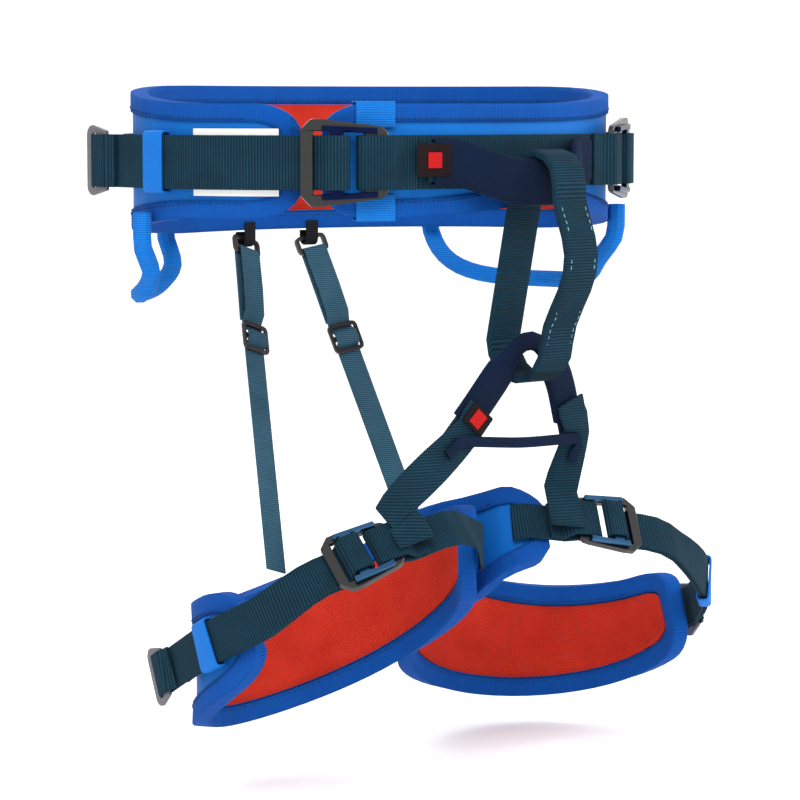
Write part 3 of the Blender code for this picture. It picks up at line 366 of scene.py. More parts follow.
class Weave(Enum):
    """How the threads cross."""

    RIB = "ribs across the length"
    CORD = "ribs along the length"
    PLAIN = "over and under both ways"
    KNIT = "fine loops with small holes"


@dataclass
class Nodes:
    """A material's node tree, with one short call to add a node."""

    material: bpy.types.Material

    def add(self, kind: str, links: dict | None = None, **settings: object) -> bpy.types.Node:
        """Adds a shader node.

        Args:
            kind: its type, without the word that all of them start with.
            links: a socket or a value for each input, by name or index.
            settings: its own settings.

        Returns:
            the node.
        """
        node = self.material.node_tree.nodes.new("ShaderNode" + kind)
        for name, value in settings.items():
            setattr(node, name, value)
        for name, value in (links or {}).items():
            if isinstance(value, bpy.types.NodeSocket):
                self.material.node_tree.links.new(value, node.inputs[name])
            else:
                node.inputs[name].default_value = value
        return node

    def math(self, operation: str, *values: object) -> bpy.types.NodeSocket:
        """Returns: the result of one sum on one or two values."""
        return self.add("Math", dict(enumerate(values)), operation=operation).outputs[0]

    def wave(self, place: bpy.types.NodeSocket, pitch: float) -> bpy.types.NodeSocket:
        """Returns: a sine of the place, which repeats once in each pitch."""
        return self.math("SINE", self.math("MULTIPLY", place, 2 * math.pi / pitch))

    def mix(self, share: object, low: object, high: object) -> bpy.types.NodeSocket:
        """Mixes two colours.

        Args:
            share: how much of high there is, a socket or a number.
            low: the colour at 0.
            high: the colour at 1.

        Returns:
            the mixed colour.
        """
        node = self.add("Mix", data_type="RGBA")
        for index, value in ((0, share), (6, low), (7, high)):
            if isinstance(value, bpy.types.NodeSocket):
                self.material.node_tree.links.new(value, node.inputs[index])
            else:
                node.inputs[index].default_value = value
        return node.outputs[2]


def fresh(name: str) -> Nodes:
    """Returns: an empty node material of this name."""
    material = bpy.data.materials.new(name)
    material.use_nodes = True
    material.node_tree.nodes.clear()
    return Nodes(material)


def close(nodes: Nodes, settings: dict, normal: bpy.types.NodeSocket) -> bpy.types.Material:
    """Adds the surface and the output.

    Args:
        nodes: the material's nodes so far.
        settings: a socket or a value for each input of the surface.
        normal: the bumped normal.

    Returns:
        the finished material.
    """
    surface = nodes.add("BsdfPrincipled", {**settings, "Normal": normal})
    nodes.add("OutputMaterial", {"Surface": surface.outputs[0]})
    return nodes.material


@dataclass(frozen=True)
class Cloth:
    """A woven or knitted finish. Pitches are in metres of real cloth."""

    name: str
    dark: str
    light: str
    weave: Weave
    along: float
    across: float
    depth: float
    rough: float = 0.88
    sheen: float = 0.0

    def build(self) -> bpy.types.Material:
        """Draws the weave in the piece's own UV map as painted highlight on its crests and painted shade in its
        hollows, with uneven wear and fine fuzz on it.

        Returns:
            the material.
        """
        n = fresh(self.name)
        place = n.add("SeparateXYZ", {0: n.add("UVMap", uv_map="cloth").outputs[0]})
        u, v = n.wave(place.outputs[0], self.along), n.wave(place.outputs[1], self.across)
        if self.weave is Weave.RIB:
            height = n.math("ADD", n.math("MULTIPLY", u, STRONG), n.math("MULTIPLY", v, FAINT))
        elif self.weave is Weave.CORD:
            height = n.math("ADD", n.math("MULTIPLY", v, STRONG), n.math("MULTIPLY", u, FAINT))
        elif self.weave is Weave.PLAIN:
            height = n.math("MULTIPLY", n.math("MULTIPLY", u, v), 0.5)
        else:
            height = n.math("MULTIPLY", n.math("MAXIMUM", u, v), 0.5)
        height = n.math("ADD", height, 0.5)
        places = n.add("TexCoord").outputs["Object"]
        wear = n.add("TexNoise", {"Vector": places, "Scale": 60.0, "Detail": 3.0})
        fuzz = n.add("TexNoise", {"Vector": places, "Scale": 2500.0, "Detail": 1.0})
        # Crests of the weave are mixed toward the light colour and hollows toward the dark one. This is painted
        # highlight and painted shade of the threads, made uneven at random by the wear noise.
        share = n.math("MULTIPLY", height, n.math("ADD", wear.outputs[0], 0.35))
        tone = n.mix(share, linear(self.dark), linear(self.light))
        raised = n.math("ADD", height, n.math("MULTIPLY", fuzz.outputs[0], 0.35))
        bump = n.add("Bump", {"Strength": 0.8, "Distance": self.depth, "Height": raised})
        rough = n.math("ADD", n.math("MULTIPLY", wear.outputs[0], 0.12), self.rough - 0.06)
        made = {"Base Color": tone, "Roughness": rough, "Sheen Weight": self.sheen}
        made |= {"Sheen Roughness": 0.4, "Specular IOR Level": 0.12}
        return close(n, made, bump.outputs[0])


@dataclass(frozen=True)
class Hard:
    """A moulded, painted or plated finish."""

    name: str
    dark: str
    light: str
    rough: float
    metallic: float = 0.0
    coat: float = 0.0
    grain: float = 900.0

    def build(self) -> bpy.types.Material:
        """Mottles the tone and grains the surface.

        Returns:
            the material.
        """
        n = fresh(self.name)
        places = n.add("TexCoord").outputs["Object"]
        broad = n.add("TexNoise", {"Vector": places, "Scale": 70.0, "Detail": 4.0})
        fine = n.add("TexNoise", {"Vector": places, "Scale": self.grain, "Detail": 2.0})
        tone = n.mix(broad.outputs[0], linear(self.dark), linear(self.light))
        rough = n.math("ADD", n.math("MULTIPLY", fine.outputs[0], 0.12), self.rough - 0.05)
        bump = n.add("Bump", {"Strength": 0.25, "Distance": 0.05 * MM, "Height": fine.outputs[0]})
        made = {"Base Color": tone, "Roughness": rough, "Metallic": self.metallic}
        made |= {"Coat Weight": self.coat, "Coat Roughness": 0.08}
        return close(n, made, bump.outputs[0])


@dataclass(frozen=True)
class Sweep:
    """A plain stage finish that is a shade uneven."""

    name: str
    tone: str

    def build(self) -> bpy.types.Material:
        """Returns: the material."""
        return Hard(self.name, self.tone, self.tone, 0.9, grain=40.0).build()


# Each cloth mixes two colours by its weave's height. The light one is painted highlight on the thread crests, and
# the dark one is painted shade in the hollows between the threads.
# Ribbed nylon: dark teal with paler rib crests that catch the light. Ribs are 1.3 mm apart.
WEBBING = Cloth("ribbed_nylon_webbing", "#041722", "#173b4c", Weave.RIB, 1.3 * MM, 1.0 * MM, 0.25 * MM)
# Navy tubular webbing with a small dotted weave.
SLEEVE = Cloth("navy_tubular_webbing", "#030b19", "#0d2140", Weave.PLAIN, 1.2 * MM, 1.2 * MM, 0.18 * MM)
# Bright blue ripstop shell: smooth, with threads too fine to count, so coarsened to 0.8 mm.
SHELL = Cloth("blue_shell_fabric", "#0558ad", "#0f78cf", Weave.PLAIN, 0.8 * MM, 0.8 * MM, 0.06 * MM, 0.6)
# Folded edge tape with fine ribs across it.
BINDING = Cloth("blue_edge_tape", "#063a86", "#0c55a6", Weave.RIB, 0.9 * MM, 0.9 * MM, 0.12 * MM)
# Red knitted spacer with small loops, coarsened to 1.1 mm.
LINING = Cloth("red_knit_lining", "#921409", "#c93524", Weave.KNIT, 1.1 * MM, 1.1 * MM, 0.2 * MM, 0.9)
# Blue stiffened tape with ribs along it.
GEAR_TAPE = Cloth("blue_gear_tape", "#0a55a8", "#1b7cd0", Weave.CORD, 1.0 * MM, 1.1 * MM, 0.2 * MM)
# Grey-blue woven elastic.
ELASTIC = Cloth("woven_elastic", "#1c3848", "#40687b", Weave.RIB, 1.0 * MM, 0.9 * MM, 0.15 * MM)
# Near-black woven patch, and its small red square.
PATCH = Cloth("dark_woven_patch", "#0f0809", "#251718", Weave.PLAIN, 0.7 * MM, 0.7 * MM, 0.06 * MM)
RED_PATCH = Cloth("red_woven_patch", "#8f0f12", "#c81e20", Weave.PLAIN, 0.7 * MM, 0.7 * MM, 0.06 * MM)
# White satin care tape.
SATIN = Cloth("white_satin_tape", "#d5d5d2", "#fbfbf8", Weave.PLAIN, 0.6 * MM, 0.6 * MM, 0.04 * MM, 0.5)
# Black grosgrain of the riser tabs.
BLACK_TAPE = Cloth("black_grosgrain", "#08090b", "#25282c", Weave.RIB, 0.9 * MM, 0.9 * MM, 0.12 * MM)
# Thread, navy on the straps and red on the lining.
NAVY_THREAD = Cloth("navy_thread", "#0b2244", "#2a4a78", Weave.PLAIN, 0.4 * MM, 0.4 * MM, 0.05 * MM)
LIGHT_THREAD = Cloth("teal_thread", "#3f7c8c", "#8fbcc6", Weave.PLAIN, 0.4 * MM, 0.4 * MM, 0.05 * MM)
# Gloss black powder coat, with a thin clear layer that gives sharp edge lights.
FRAME_COAT = Hard("gloss_black_powder_coat", "#020203", "#08080a", 0.3, 0.0, 0.25)
# Anodised aluminium.
NAVY_METAL = Hard("navy_anodised_aluminium", "#0a1230", "#18234a", 0.28, 1.0)
STEEL_METAL = Hard("steel_blue_anodised_aluminium", "#274a6b", "#3f6a8f", 0.3, 1.0)
# Grey and black nylon mouldings with a fine matt grain.
GREY_NYLON = Hard("grey_moulded_nylon", "#4a494f", "#666469", 0.5)
BLACK_NYLON = Hard("black_moulded_nylon", "#0a0a0c", "#1d1d20", 0.35)


# ---------------------------------------------------------------- pieces


def body_of(node: str) -> str:
    """Returns: the CAD body that holds this node."""
    return next(b for b, members in frame["record"]["behaviour"]["bodies"].items() if node in members)


def copied(node: str, name: str) -> bpy.types.Object:
    """Copies a CAD node's shape, with its facets joined back into quads.

    Args:
        node: the CAD node's name.
        name: the new piece's name.

    Returns:
        the new piece.
    """
    bm = bmesh.new()
    bm.from_mesh(frame["nodes"][node].data)
    bmesh.ops.remove_doubles(bm, verts=bm.verts, dist=0.002 * MM)
    angles = {"angle_face_threshold": QUAD_FACE_ANGLE, "angle_shape_threshold": QUAD_SHAPE_ANGLE}
    bmesh.ops.join_triangles(bm, faces=bm.faces, **angles)
    bmesh.ops.recalc_face_normals(bm, faces=bm.faces)
    mesh = bpy.data.meshes.new(name)
    bm.to_mesh(mesh)
    bm.free()
    piece = bpy.data.objects.new(name, mesh)
    bpy.context.scene.collection.objects.link(piece)
    return piece


def applied(piece: bpy.types.Object) -> None:
    """Replaces the piece's mesh with its evaluated mesh and drops its modifiers."""
    graph = bpy.context.evaluated_depsgraph_get()
    mesh = bpy.data.meshes.new_from_object(piece.evaluated_get(graph))
    piece.modifiers.clear()
    piece.data = mesh


def corners(piece: bpy.types.Object) -> np.ndarray:
    """Returns: the piece's points as rows."""
    found = np.empty(len(piece.data.vertices) * 3, np.float32)
    piece.data.vertices.foreach_get("co", found)
    return found.reshape(-1, 3).astype(float)


def set_corners(piece: bpy.types.Object, points: np.ndarray) -> None:
    """Moves the piece's points to these rows."""
    piece.data.vertices.foreach_set("co", points.astype(np.float32).ravel())
    piece.data.update()


def made_piece(name: str, points: list, faces: list) -> bpy.types.Object:
    """Makes a piece from its points and faces.

    Args:
        name: the new piece's name.
        points: a place for each point.
        faces: the points of each face.

    Returns:
        the new piece.
    """
    mesh = bpy.data.meshes.new(name)
    mesh.from_pydata(points, [], faces)
    piece = bpy.data.objects.new(name, mesh)
    bpy.context.scene.collection.objects.link(piece)
    return piece


def refine(piece: bpy.types.Object, levels: int) -> None:
    """Splits the piece's faces this many times, on the same surface."""
    finer = piece.modifiers.new("finer", "SUBSURF")
    finer.levels = finer.render_levels = levels
    finer.subdivision_type = "SIMPLE"
    applied(piece)


def give_map(piece: bpy.types.Object, reader: Map) -> None:
    """Writes the piece's UV map, in metres of cloth.

    Args:
        piece: the piece.
        reader: where each point is on the flat cloth.
    """
    data = piece.data
    places = reader.read(corners(piece))
    index = np.empty(len(data.loops), np.int32)
    data.loops.foreach_get("vertex_index", index)
    layer = data.uv_layers.new(name="cloth")
    layer.data.foreach_set("uv", places[index].astype(np.float32).ravel())


def smooth(piece: bpy.types.Object) -> None:
    """Shades the piece smooth."""
    piece.data.polygons.foreach_set("use_smooth", np.ones(len(piece.data.polygons), bool))


@dataclass
class Strap:
    """A flat sewn piece: webbing, tape, elastic or a label."""

    node: str
    reader: Map
    finish: Cloth
    slot: str
    edge: float = 0.45 * MM
    slider: str | None = None
    fold: tuple = (8.0 * MM, 13.5 * MM)

    def build(self, library: "Library") -> bpy.types.Object:
        """Rounds the CAD shape's edges and lays the weave on it. A strap without a slider goes on its body; one
        with a slider has its place baked into its points instead.

        Args:
            library: the finishes.

        Returns:
            the piece.
        """
        piece = copied(self.node, "cloth_" + self.node)
        bevel = piece.modifiers.new("edge", "BEVEL")
        bevel.width = self.edge
        bevel.segments = 2
        bevel.limit_method = "ANGLE"
        bevel.angle_limit = math.radians(50)
        bevel.use_clamp_overlap = True
        applied(piece)
        give_map(piece, self.reader)
        refine(piece, FINER_LEVELS)
        smooth(piece)
        library.dress(piece, self.finish, self.slot)
        if self.slider:
            self.follow(piece)
        else:
            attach(piece, body_of(self.node))
        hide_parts(self.node)
        LOG.info("strap %s: %d faces", piece.name, len(piece.data.polygons))
        return piece

    def follow(self, piece: bpy.types.Object) -> None:
        """Reads the slider's joint and the fold's stretch, which move nothing, and bakes the strap's place into
        its points.

        Args:
            piece: the strap.
        """
        joint = next(j for j in frame["joints"] if j["child"] == self.slider)
        middle, axis = np.array(joint["pos_m"]), np.array(joint["axis"])
        near, far = (middle - axis * reach for reach in self.fold)
        body_of(self.node)
        tuple(far)
        tuple(near)
        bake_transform(piece)


@dataclass
class Library:
    """The finishes, each built once."""

    made: dict = field(default_factory=dict)

    def dress(self, piece: bpy.types.Object, finish: Cloth | Hard | Sweep, slot: str | None = None) -> None:
        """Gives the piece a finish.

        Args:
            piece: the piece.
            finish: its finish, built at its first use.
            slot: the record's material slot, not used.
        """
        if finish.name not in self.made:
            self.made[finish.name] = finish.build()
        piece.data.materials.clear()
        piece.data.materials.append(self.made[finish.name])


@dataclass
class Padding:
    """A foam pad: a short cloth run puffs its shell a little, and the lining goes with it.

    The edge tape stays where it is.
    """

    prefix: str
    suffix: str
    reader: TrackMap
    fill: float
    inner_rise: float
    outer_rise: float

    def node(self, part: str) -> str:
        """Returns: the CAD node's name of this part."""
        return f"{self.prefix}_{part}{self.suffix}"

    def shares(self, points: np.ndarray) -> np.ndarray:
        """How far each point is from the pad's sewn edge.

        Args:
            points: points in space.

        Returns:
            0 within the edge's width and 1 well inside it, for each point.
        """
        places = self.reader.places(points)
        rim = self.reader.places(corners(frame["nodes"][self.node("pad")]))
        count = 59
        bins, centre, which = celled(rim[:, 0], rim[:, 0].min(), rim[:, 0].max(), count)
        filled = [k for k in range(count) if np.sum(which == k) > 1]
        high = np.interp(places[:, 0], centre[filled], [rim[which == k, 1].max() for k in filled])
        low = np.interp(places[:, 0], centre[filled], [rim[which == k, 1].min() for k in filled])
        to_side = np.minimum(high - places[:, 1], places[:, 1] - low)
        to_end = np.minimum(places[:, 0] - bins[0], bins[-1] - places[:, 0])
        return smooth_step((np.minimum(to_side, to_end) - 10 * MM) / (12 * MM))

    def puff(self, piece: bpy.types.Object) -> np.ndarray:
        """Runs the cloth under pressure, with the pad's edge held.

        Args:
            piece: the shell.

        Returns:
            how far each point moves, within the pad's own limits.
        """
        rest = corners(piece)
        last = 20
        share = self.shares(rest)
        group = piece.vertex_groups.new(name="sewn")
        for index in np.flatnonzero(share < 0.02):
            group.add([int(index)], 1.0, "REPLACE")
        cloth = piece.modifiers.new("cloth", "CLOTH")
        cloth.settings.vertex_group_mass = "sewn"
        cloth.settings.use_pressure = True
        cloth.settings.uniform_pressure_force = 4.0
        cloth.settings.effector_weights.gravity = 0.0
        cloth.settings.quality = 5
        cloth.collision_settings.use_collision = False
        cloth.point_cache.frame_start = 1
        cloth.point_cache.frame_end = last
        for number in range(1, last + 1):
            bpy.context.scene.frame_set(number)
        applied(piece)
        bpy.context.scene.frame_set(1)
        moved = corners(piece) - rest
        side = self.reader.places(rest)[:, 2]
        cap = np.where(side < 0, self.inner_rise, self.outer_rise) * share
        size = np.linalg.norm(moved, axis=1)
        return moved * (np.minimum(size, cap) / np.maximum(size, 1e-9))[:, None]

    def build(self, library: Library) -> list:
        """Builds the pad's three pieces.

        Args:
            library: the finishes.

        Returns:
            the shell, the lining and the edge tape.
        """
        shell = self.fine(self.node("pad"))
        rest = corners(shell)
        moved = self.puff(shell)
        set_corners(shell, rest + moved)
        tree = kdtree.KDTree(len(rest))
        for index, point in enumerate(rest):
            tree.insert(point, index)
        tree.balance()
        lining = self.fine(self.node("lining"))
        points = corners(lining)
        near = [tree.find_n(p, 4) for p in points]
        pull = np.array([np.mean([moved[k] for _, k, _ in found], axis=0) for found in near])
        set_corners(lining, points + pull)
        binding = self.fine(self.node("binding"))
        made = ((shell, SHELL, "pad"), (lining, LINING, "lining"), (binding, BINDING, "binding"))
        slots = {"pad": "shell_fabric", "lining": "lining_mesh", "binding": "binding_tape"}
        for piece, finish, part in made:
            give_map(piece, self.reader)
            smooth(piece)
            library.dress(piece, finish, slots[part])
            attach(piece, body_of(self.node(part)))
            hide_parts(self.node(part))
            LOG.info("padding %s: %d faces", piece.name, len(piece.data.polygons))
        return [shell, lining, binding]

    def fine(self, node: str) -> bpy.types.Object:
        """Returns: a copy of the node with finer faces on the same surface."""
        piece = copied(node, "soft_" + node)
        refine(piece, FINER_LEVELS)
        return piece


@dataclass
class Stitches:
    """A row of thread stitches, each a short bead that lies on the cloth."""

    name: str
    body: str
    centres: np.ndarray
    along: np.ndarray
    outward: np.ndarray
    finish: Cloth
    slot: str
    length: float = 2.0 * MM
    radius: float = 0.28 * MM

    def build(self, library: Library) -> bpy.types.Object:
        """Lays each bead, a small ellipsoid, by its own directions.

        Args:
            library: the finishes.

        Returns:
            the row.
        """
        around, rows = 8, 5
        turn = np.radians(np.arange(around) * 360.0 / around)
        lift = np.radians(np.linspace(-75, 75, rows))
        a = np.repeat(np.sin(lift), around)
        b = np.repeat(np.cos(lift), around) * np.tile(np.cos(turn), rows)
        c = np.repeat(np.cos(lift), around) * np.tile(np.sin(turn), rows)
        bead = np.stack([a * self.length / 2, b * self.radius, c * self.radius], axis=1)
        side = np.cross(self.outward, self.along)
        axes = np.stack([self.along, side, self.outward], axis=1)
        points = (self.centres[:, None] + np.einsum("kc,ncd->nkd", bead, axes)).reshape(-1, 3)
        faces = []
        for low in range(0, around * (rows - 1), around):
            for i in range(around):
                k = (i + 1) % around
                faces.append((low + i, low + k, low + around + k, low + around + i))
        total = around * rows
        faces += [tuple(range(around - 1, -1, -1)), tuple(range(total - around, total))]
        every = [tuple(v + n * total for v in f) for n in range(len(self.centres)) for f in faces]
        piece = made_piece(self.name, points.tolist(), every)
        give_map(piece, PlaneMap((1, 0, 0), (0, 0, 1)))
        smooth(piece)
        library.dress(piece, self.finish, self.slot)
        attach(piece, self.body)
        LOG.info("stitches %s: %d", self.name, len(self.centres))
        return piece


# ---------------------------------------------------------------- the harness


class Harness:
    """The whole harness: pads, straps, threads and hardware."""

    def __init__(self) -> None:
        """Lays the tracks that the pieces lie on."""
        self.library = Library()
        track, angles = ring(127.5 * MM, 94 * MM, (0, 0, 0), 0.0, 0.0)
        half = lengths_at(track, angles, (-60.0, 200.0))
        self.belt_middle = lengths_at(track, angles, (0.0,))[0]
        self.waist = TrackMap(track, lengths_at(track, angles, (-52.0, 315.0)))
        self.front = TrackMap(track, lengths_at(track, angles, (-80.0, 80.0)))
        self.halves = {"left": TrackMap(track, half), "right": TrackMap(track, half, True)}
        self.legs, self.leg_pads = {}, {}
        for size in LEGS:
            path, start, pad = size.track()
            self.legs[size.side] = TrackMap(path, (start - LEG_BEFORE, start + LEG_AFTER))
            self.leg_pads[size.side] = TrackMap(path, (pad[0] - PAD_SPARE, pad[1] + PAD_SPARE))

    def pads(self) -> None:
        """Builds the three pads."""
        Padding("waist", "", self.waist, 0.7, 1.2 * MM, 0.25 * MM).build(self.library)
        for side, reader in self.leg_pads.items():
            Padding("leg", "_" + side, reader, 0.6, 1.2 * MM, 0.6 * MM).build(self.library)

    def straps(self) -> None:
        """Builds the webbing, tapes, elastics and labels."""
        x, y, z = (1, 0, 0), (0, 1, 0), (0, 0, 1)
        made = [
            Strap("waist_front_belt", self.front, WEBBING, "webbing"),
            Strap("upper_tie_in_sleeve", PlaneMap(x, z), SLEEVE, "sleeve_webbing"),
            Strap("upper_tie_in_webbing", PlaneMap(x, z), WEBBING, "webbing"),
            Strap("upper_tie_in_label", PlaneMap(x, z), PATCH, "woven_label", 0.1 * MM),
            Strap("belay_loop", LoopMap(), WEBBING, "webbing", 0.8 * MM),
            Strap("yoke_sleeve", PlaneMap((1, 0, -1), (1, 0, 1)), SLEEVE, "sleeve_webbing"),
            Strap("yoke_webbing", PlaneMap((1, 0, -1), (1, 0, 1)), WEBBING, "webbing"),
            Strap("yoke_label", PlaneMap(x, z), PATCH, "woven_label", 0.1 * MM),
            Strap("cross_strap", PlaneMap(x, z), SLEEVE, "sleeve_webbing", 0.3 * MM),
            Strap("care_label", self.waist, SATIN, "care_label", 0.1 * MM),
            Strap("pad_end_tab_top", self.waist, GEAR_TAPE, "shell_fabric", 0.1 * MM),
            Strap("pad_end_tab_bottom", self.waist, GEAR_TAPE, "shell_fabric", 0.1 * MM),
        ]
        for side in SIDES:
            leg, half = self.legs[side], self.halves[side]
            made += [
                Strap(
                    f"waist_adjusting_strap_{side}",
                    half,
                    WEBBING,
                    "webbing",
                    slider=f"waist_slider_{side}",
                ),
                Strap(f"waist_keeper_{side}", half, SHELL, "shell_fabric", 0.2 * MM),
                Strap(
                    f"leg_adjusting_strap_{side}",
                    leg,
                    WEBBING,
                    "webbing",
                    slider=f"leg_slider_{side}",
                    fold=(6.8 * MM, 11.3 * MM),
                ),
                Strap(f"leg_inner_strap_{side}", leg, WEBBING, "webbing"),
                Strap(f"leg_front_strap_{side}", PlaneMap(z, x), WEBBING, "webbing"),
                Strap(f"leg_keeper_{side}", leg, SHELL, "shell_fabric", 0.2 * MM),
                Strap(f"riser_elastic_{side}", PlaneMap(z, x), ELASTIC, "riser_elastic", 0.3 * MM),
                Strap(f"riser_tab_{side}", PlaneMap(z, x), BLACK_TAPE, "riser_tab_tape", 0.2 * MM),
                Strap(f"gear_loop_{side}", PlaneMap(x, z), GEAR_TAPE, "shell_fabric", 0.2 * MM),
            ]
        for strap in made:
            strap.build(self.library)

    def hardware(self) -> None:
        """Gives the rigid CAD nodes their finishes. Their shapes stay as they are."""
        for side in SIDES:
            for node, finish in (
                (f"waist_buckle_frame_{side}", FRAME_COAT),
                (f"leg_buckle_frame_{side}", FRAME_COAT),
                (f"waist_buckle_slider_{side}", NAVY_METAL),
                (f"leg_buckle_slider_{side}", STEEL_METAL),
                (f"waist_tail_stop_{side}", GREY_NYLON),
                (f"leg_tail_stop_{side}", GREY_NYLON),
                (f"riser_ring_{side}", BLACK_NYLON),
                (f"riser_tri_glide_{side}", BLACK_NYLON),
            ):
                self.library.dress(frame["nodes"][node], finish)

    def sew(
        self, name: str, node: str, line: np.ndarray, outward: np.ndarray, finish: Cloth, slot: str
    ) -> None:
        """Sews a row of stitches, one bead between each two points.

        Args:
            name: the row's name.
            node: the CAD node that it is sewn to.
            line: points in space.
            outward: the cloth's outward direction at each bead.
            finish: the thread.
            slot: the record's material slot.
        """
        along = unit(np.diff(line, axis=0))
        outward = unit(outward - along * np.sum(outward * along, axis=1, keepdims=True))
        centres = (line[:-1] + line[1:]) / 2
        Stitches(name, body_of(node), centres, along, outward, finish, slot).build(self.library)

    def row(self, name: str, node: str, reader: TrackMap, flat: np.ndarray, finish: Cloth, slot: str) -> None:
        """Sews a row of stitches on a track.

        Args:
            name: the row's name.
            node: the CAD node that it is sewn to.
            reader: the track. No mirrored piece has stitches.
            flat: (s, y, t) places on it.
            finish: the thread.
            slot: the record's material slot.
        """
        outward = reader.track.read(reader.track.outward, flat[:, 0])[:-1]
        self.sew(name, node, reader.track.bend(flat), outward, finish, slot)

    def pad_thread(self) -> None:
        """Two rows on each face of a pad, which hold its edge tape on."""
        count, from_end, from_edge, step, tape = 47, 22 * MM, 6.0 * MM, 3.0 * MM, 0.85 * MM
        pads = [("waist", "", self.waist, 3.0 * MM, 0.3 * MM)]
        pads += [("leg", "_" + side, self.leg_pads[side], 2.5 * MM, 1.0 * MM) for side in SIDES]
        for prefix, suffix, reader, half, gap in pads:
            rim = reader.places(corners(frame["nodes"][f"{prefix}_pad{suffix}"]))
            edges, middle, which = celled(rim[:, 0], rim[:, 0].min(), rim[:, 0].max(), count)
            filled = [k for k in range(count) if np.sum(which == k) > 1]
            s = np.arange(edges[0] + from_end, edges[-1] - from_end, step)
            for word, way in (("low", -1), ("high", 1)):
                rims = [(rim[which == k, 1] * way).max() for k in filled]
                y = way * (np.interp(s, middle[filled], rims) - from_edge)
                for face, level in (("outer", 1), ("inner", -1)):
                    t = level * (half + gap + tape)
                    flat = np.stack([s, y, np.full(len(s), t)], axis=1)
                    node = f"{prefix}_binding{suffix}"
                    name = f"thread_{node}_{word}_{face}"
                    self.row(name, node, reader, flat, NAVY_THREAD, "binding_tape")

    def bar_tacks(self) -> None:
        """Close columns of thread across the front belt, beside the upper tie-in."""
        belt = self.front.places(corners(frame["nodes"]["waist_front_belt"]))
        near = np.abs(belt[:, 0] - self.belt_middle) < 45 * MM
        level = float(belt[near, 2].max()) + 0.1 * MM
        y = np.arange(-10.5 * MM, 10.6 * MM, 1.5 * MM)
        for name, place in (("a", -62.0), ("b", -58.5), ("c", 58.5), ("d", 62.0)):
            s = np.full(len(y), self.belt_middle + place * MM)
            flat = np.stack([s, y, np.full(len(y), level)], axis=1)
            self.row(f"bar_tack_{name}", "waist_front_belt", self.front, flat, LIGHT_THREAD, "webbing")

    def belay_thread(self) -> None:
        """A row down each side of the belay loop's front strand."""
        points = corners(frame["nodes"]["belay_loop"])
        heights = np.arange(-92.0, -18.0, 3.0) * MM
        low, high, count, from_middle = -0.1, -0.015, 13, 7.6 * MM
        shown = points[(points[:, 2] > low) & (points[:, 2] < high)]
        _, middle, which = celled(shown[:, 2], low, high, count)
        filled = [k for k in range(count) if np.any(which == k)]
        front = [shown[which == k, 1].min() for k in filled]
        y = np.interp(heights, middle[filled], front)
        outward = np.tile((0.0, -1.0, 0.0), (len(heights) - 1, 1))
        for word, x in (("left", from_middle), ("right", -from_middle)):
            line = np.stack([np.full(len(heights), x), y, heights], axis=1)
            self.sew(f"thread_belay_loop_{word}", "belay_loop", line, outward, LIGHT_THREAD, "webbing")

    def label_squares(self) -> None:
        """A small plain red square woven into each dark label, with no lettering."""
        for node in ("upper_tie_in_label", "yoke_label"):
            points = corners(frame["nodes"][node])
            centre = points.mean(0)
            _, _, axes = np.linalg.svd(points - centre)
            normal = axes[2] * (1 if axes[2][1] < 0 else -1)
            # The waist label's square stands level, and the yoke label's follows its long side.
            side = unit(np.cross(UP, normal))
            if node == "yoke_label":
                side = unit(axes[0] - normal * (axes[0] @ normal))
            rise = np.cross(normal, side)
            front = ((points - centre) @ normal).max() + 0.12 * MM
            half, thick = 3.6 * MM, 0.12 * MM
            rows = []
            for t in (front - thick, front + thick):
                for a, b in ((-half, -half), (half, -half), (half, half), (-half, half)):
                    rows.append(centre + side * a + rise * b + normal * t)
            faces = [(0, 3, 2, 1), (4, 5, 6, 7), (0, 1, 5, 4), (1, 2, 6, 5), (2, 3, 7, 6), (3, 0, 4, 7)]
            piece = made_piece("red_square_" + node, [tuple(r) for r in rows], faces)
            give_map(piece, PlaneMap((1, 0, 0), (0, 0, 1)))
            self.library.dress(piece, RED_PATCH, "woven_label")
            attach(piece, body_of(node))

    def stage(self) -> None:
        """The pale floor, the soft lights and the camera."""
        size, low, back = 6.0, -0.30, 2.2
        u = np.linspace(0, 1, 25)
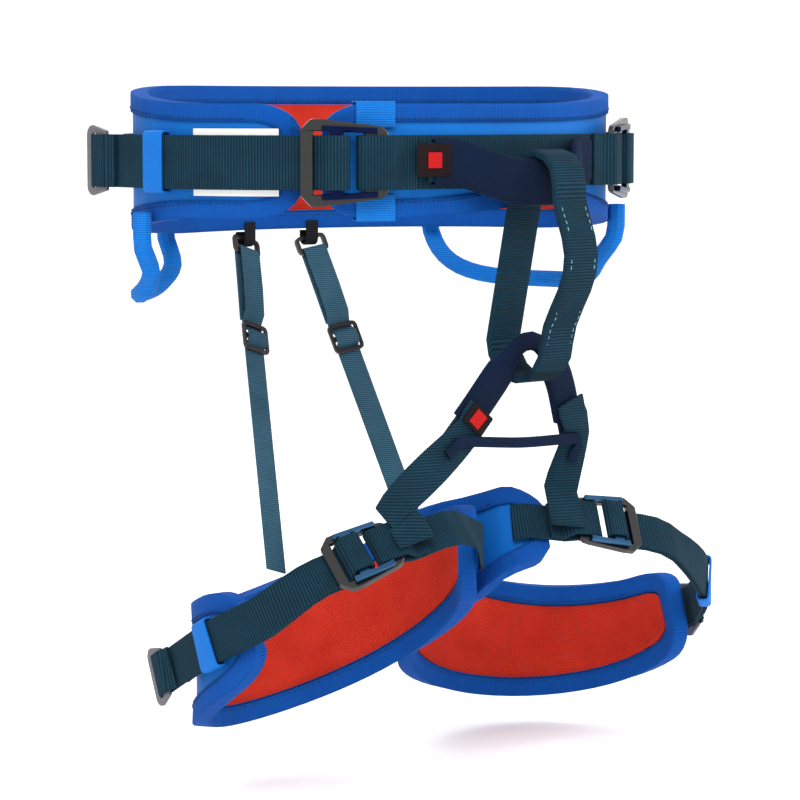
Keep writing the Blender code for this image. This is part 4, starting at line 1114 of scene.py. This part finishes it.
        # The floor runs level, turns up on a quarter circle of radius 1 m, and ends as a wall.
        profile = [(-size, low), *((back + math.sin(a), low + 1 - math.cos(a)) for a in u * math.pi / 2)]
        profile.append((back + 1, low + 5))
        right, ahead = math.cos(STUDIO_TURN), math.sin(STUDIO_TURN)
        rows = [
            (x * right - y * ahead, x * ahead + y * right, z)
            for y, z in profile
            for x in (-size, size)
        ]
        faces = [(2 * i, 2 * i + 1, 2 * i + 3, 2 * i + 2) for i in range(len(profile) - 1)]
        floor = made_piece("floor", rows, faces)
        smooth(floor)
        self.library.dress(floor, Sweep("pale_studio_floor", "#ffffff"))
        world = bpy.data.worlds.new("studio")
        world.use_nodes = True
        sky = world.node_tree.nodes["Background"].inputs
        sky["Color"].default_value = (1, 1, 1, 1)
        sky["Strength"].default_value = 1.0
        bpy.context.scene.world = world
        bpy.context.scene.view_settings.view_transform = "Standard"
        for name, place, size, power in (
            ("key", (-1.1, -1.3, 1.2), 1.0, 26.0),
            ("fill", (1.3, -1.0, 0.5), 1.2, 12.0),
            ("rim", (0.4, 1.3, 1.2), 0.8, 12.0),
        ):
            light = bpy.data.lights.new(name, "AREA")
            light.size = size
            light.energy = power
            lamp = bpy.data.objects.new(name, light)
            lamp.location = place
            aim = Vector((0, 0, -0.12)) - Vector(place)
            lamp.rotation_euler = aim.to_track_quat("-Z", "Y").to_euler()
            bpy.context.scene.collection.objects.link(lamp)
        self.camera()

    def camera(self) -> None:
        """The camera stands 1.5 m off, at the front right, a little above the harness."""
        a, e = STUDIO_TURN, math.radians(5.6)
        target = Vector((math.cos(a) * 12.5 * MM, math.sin(a) * 12.5 * MM, -120.5 * MM))
        back = Vector((math.sin(a) * math.cos(e), -math.cos(a) * math.cos(e), math.sin(e)))
        data = bpy.data.cameras.new("camera")
        data.lens = 135.0
        data.sensor_width = 36.0
        camera = bpy.data.objects.new("camera", data)
        camera.location = target + back * 1.5
        camera.rotation_euler = (-back).to_track_quat("-Z", "Y").to_euler()
        bpy.context.scene.collection.objects.link(camera)
        bpy.context.scene.camera = camera


def main() -> None:
    """Builds the harness and its stage."""
    logging.basicConfig(level=logging.INFO, format="%(name)s: %(message)s")
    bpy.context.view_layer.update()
    harness = Harness()
    harness.pads()
    harness.straps()
    harness.pad_thread()
    harness.bar_tacks()
    harness.belay_thread()
    harness.label_squares()
    harness.hardware()
    harness.stage()


if __name__ == "__main__":
    main()
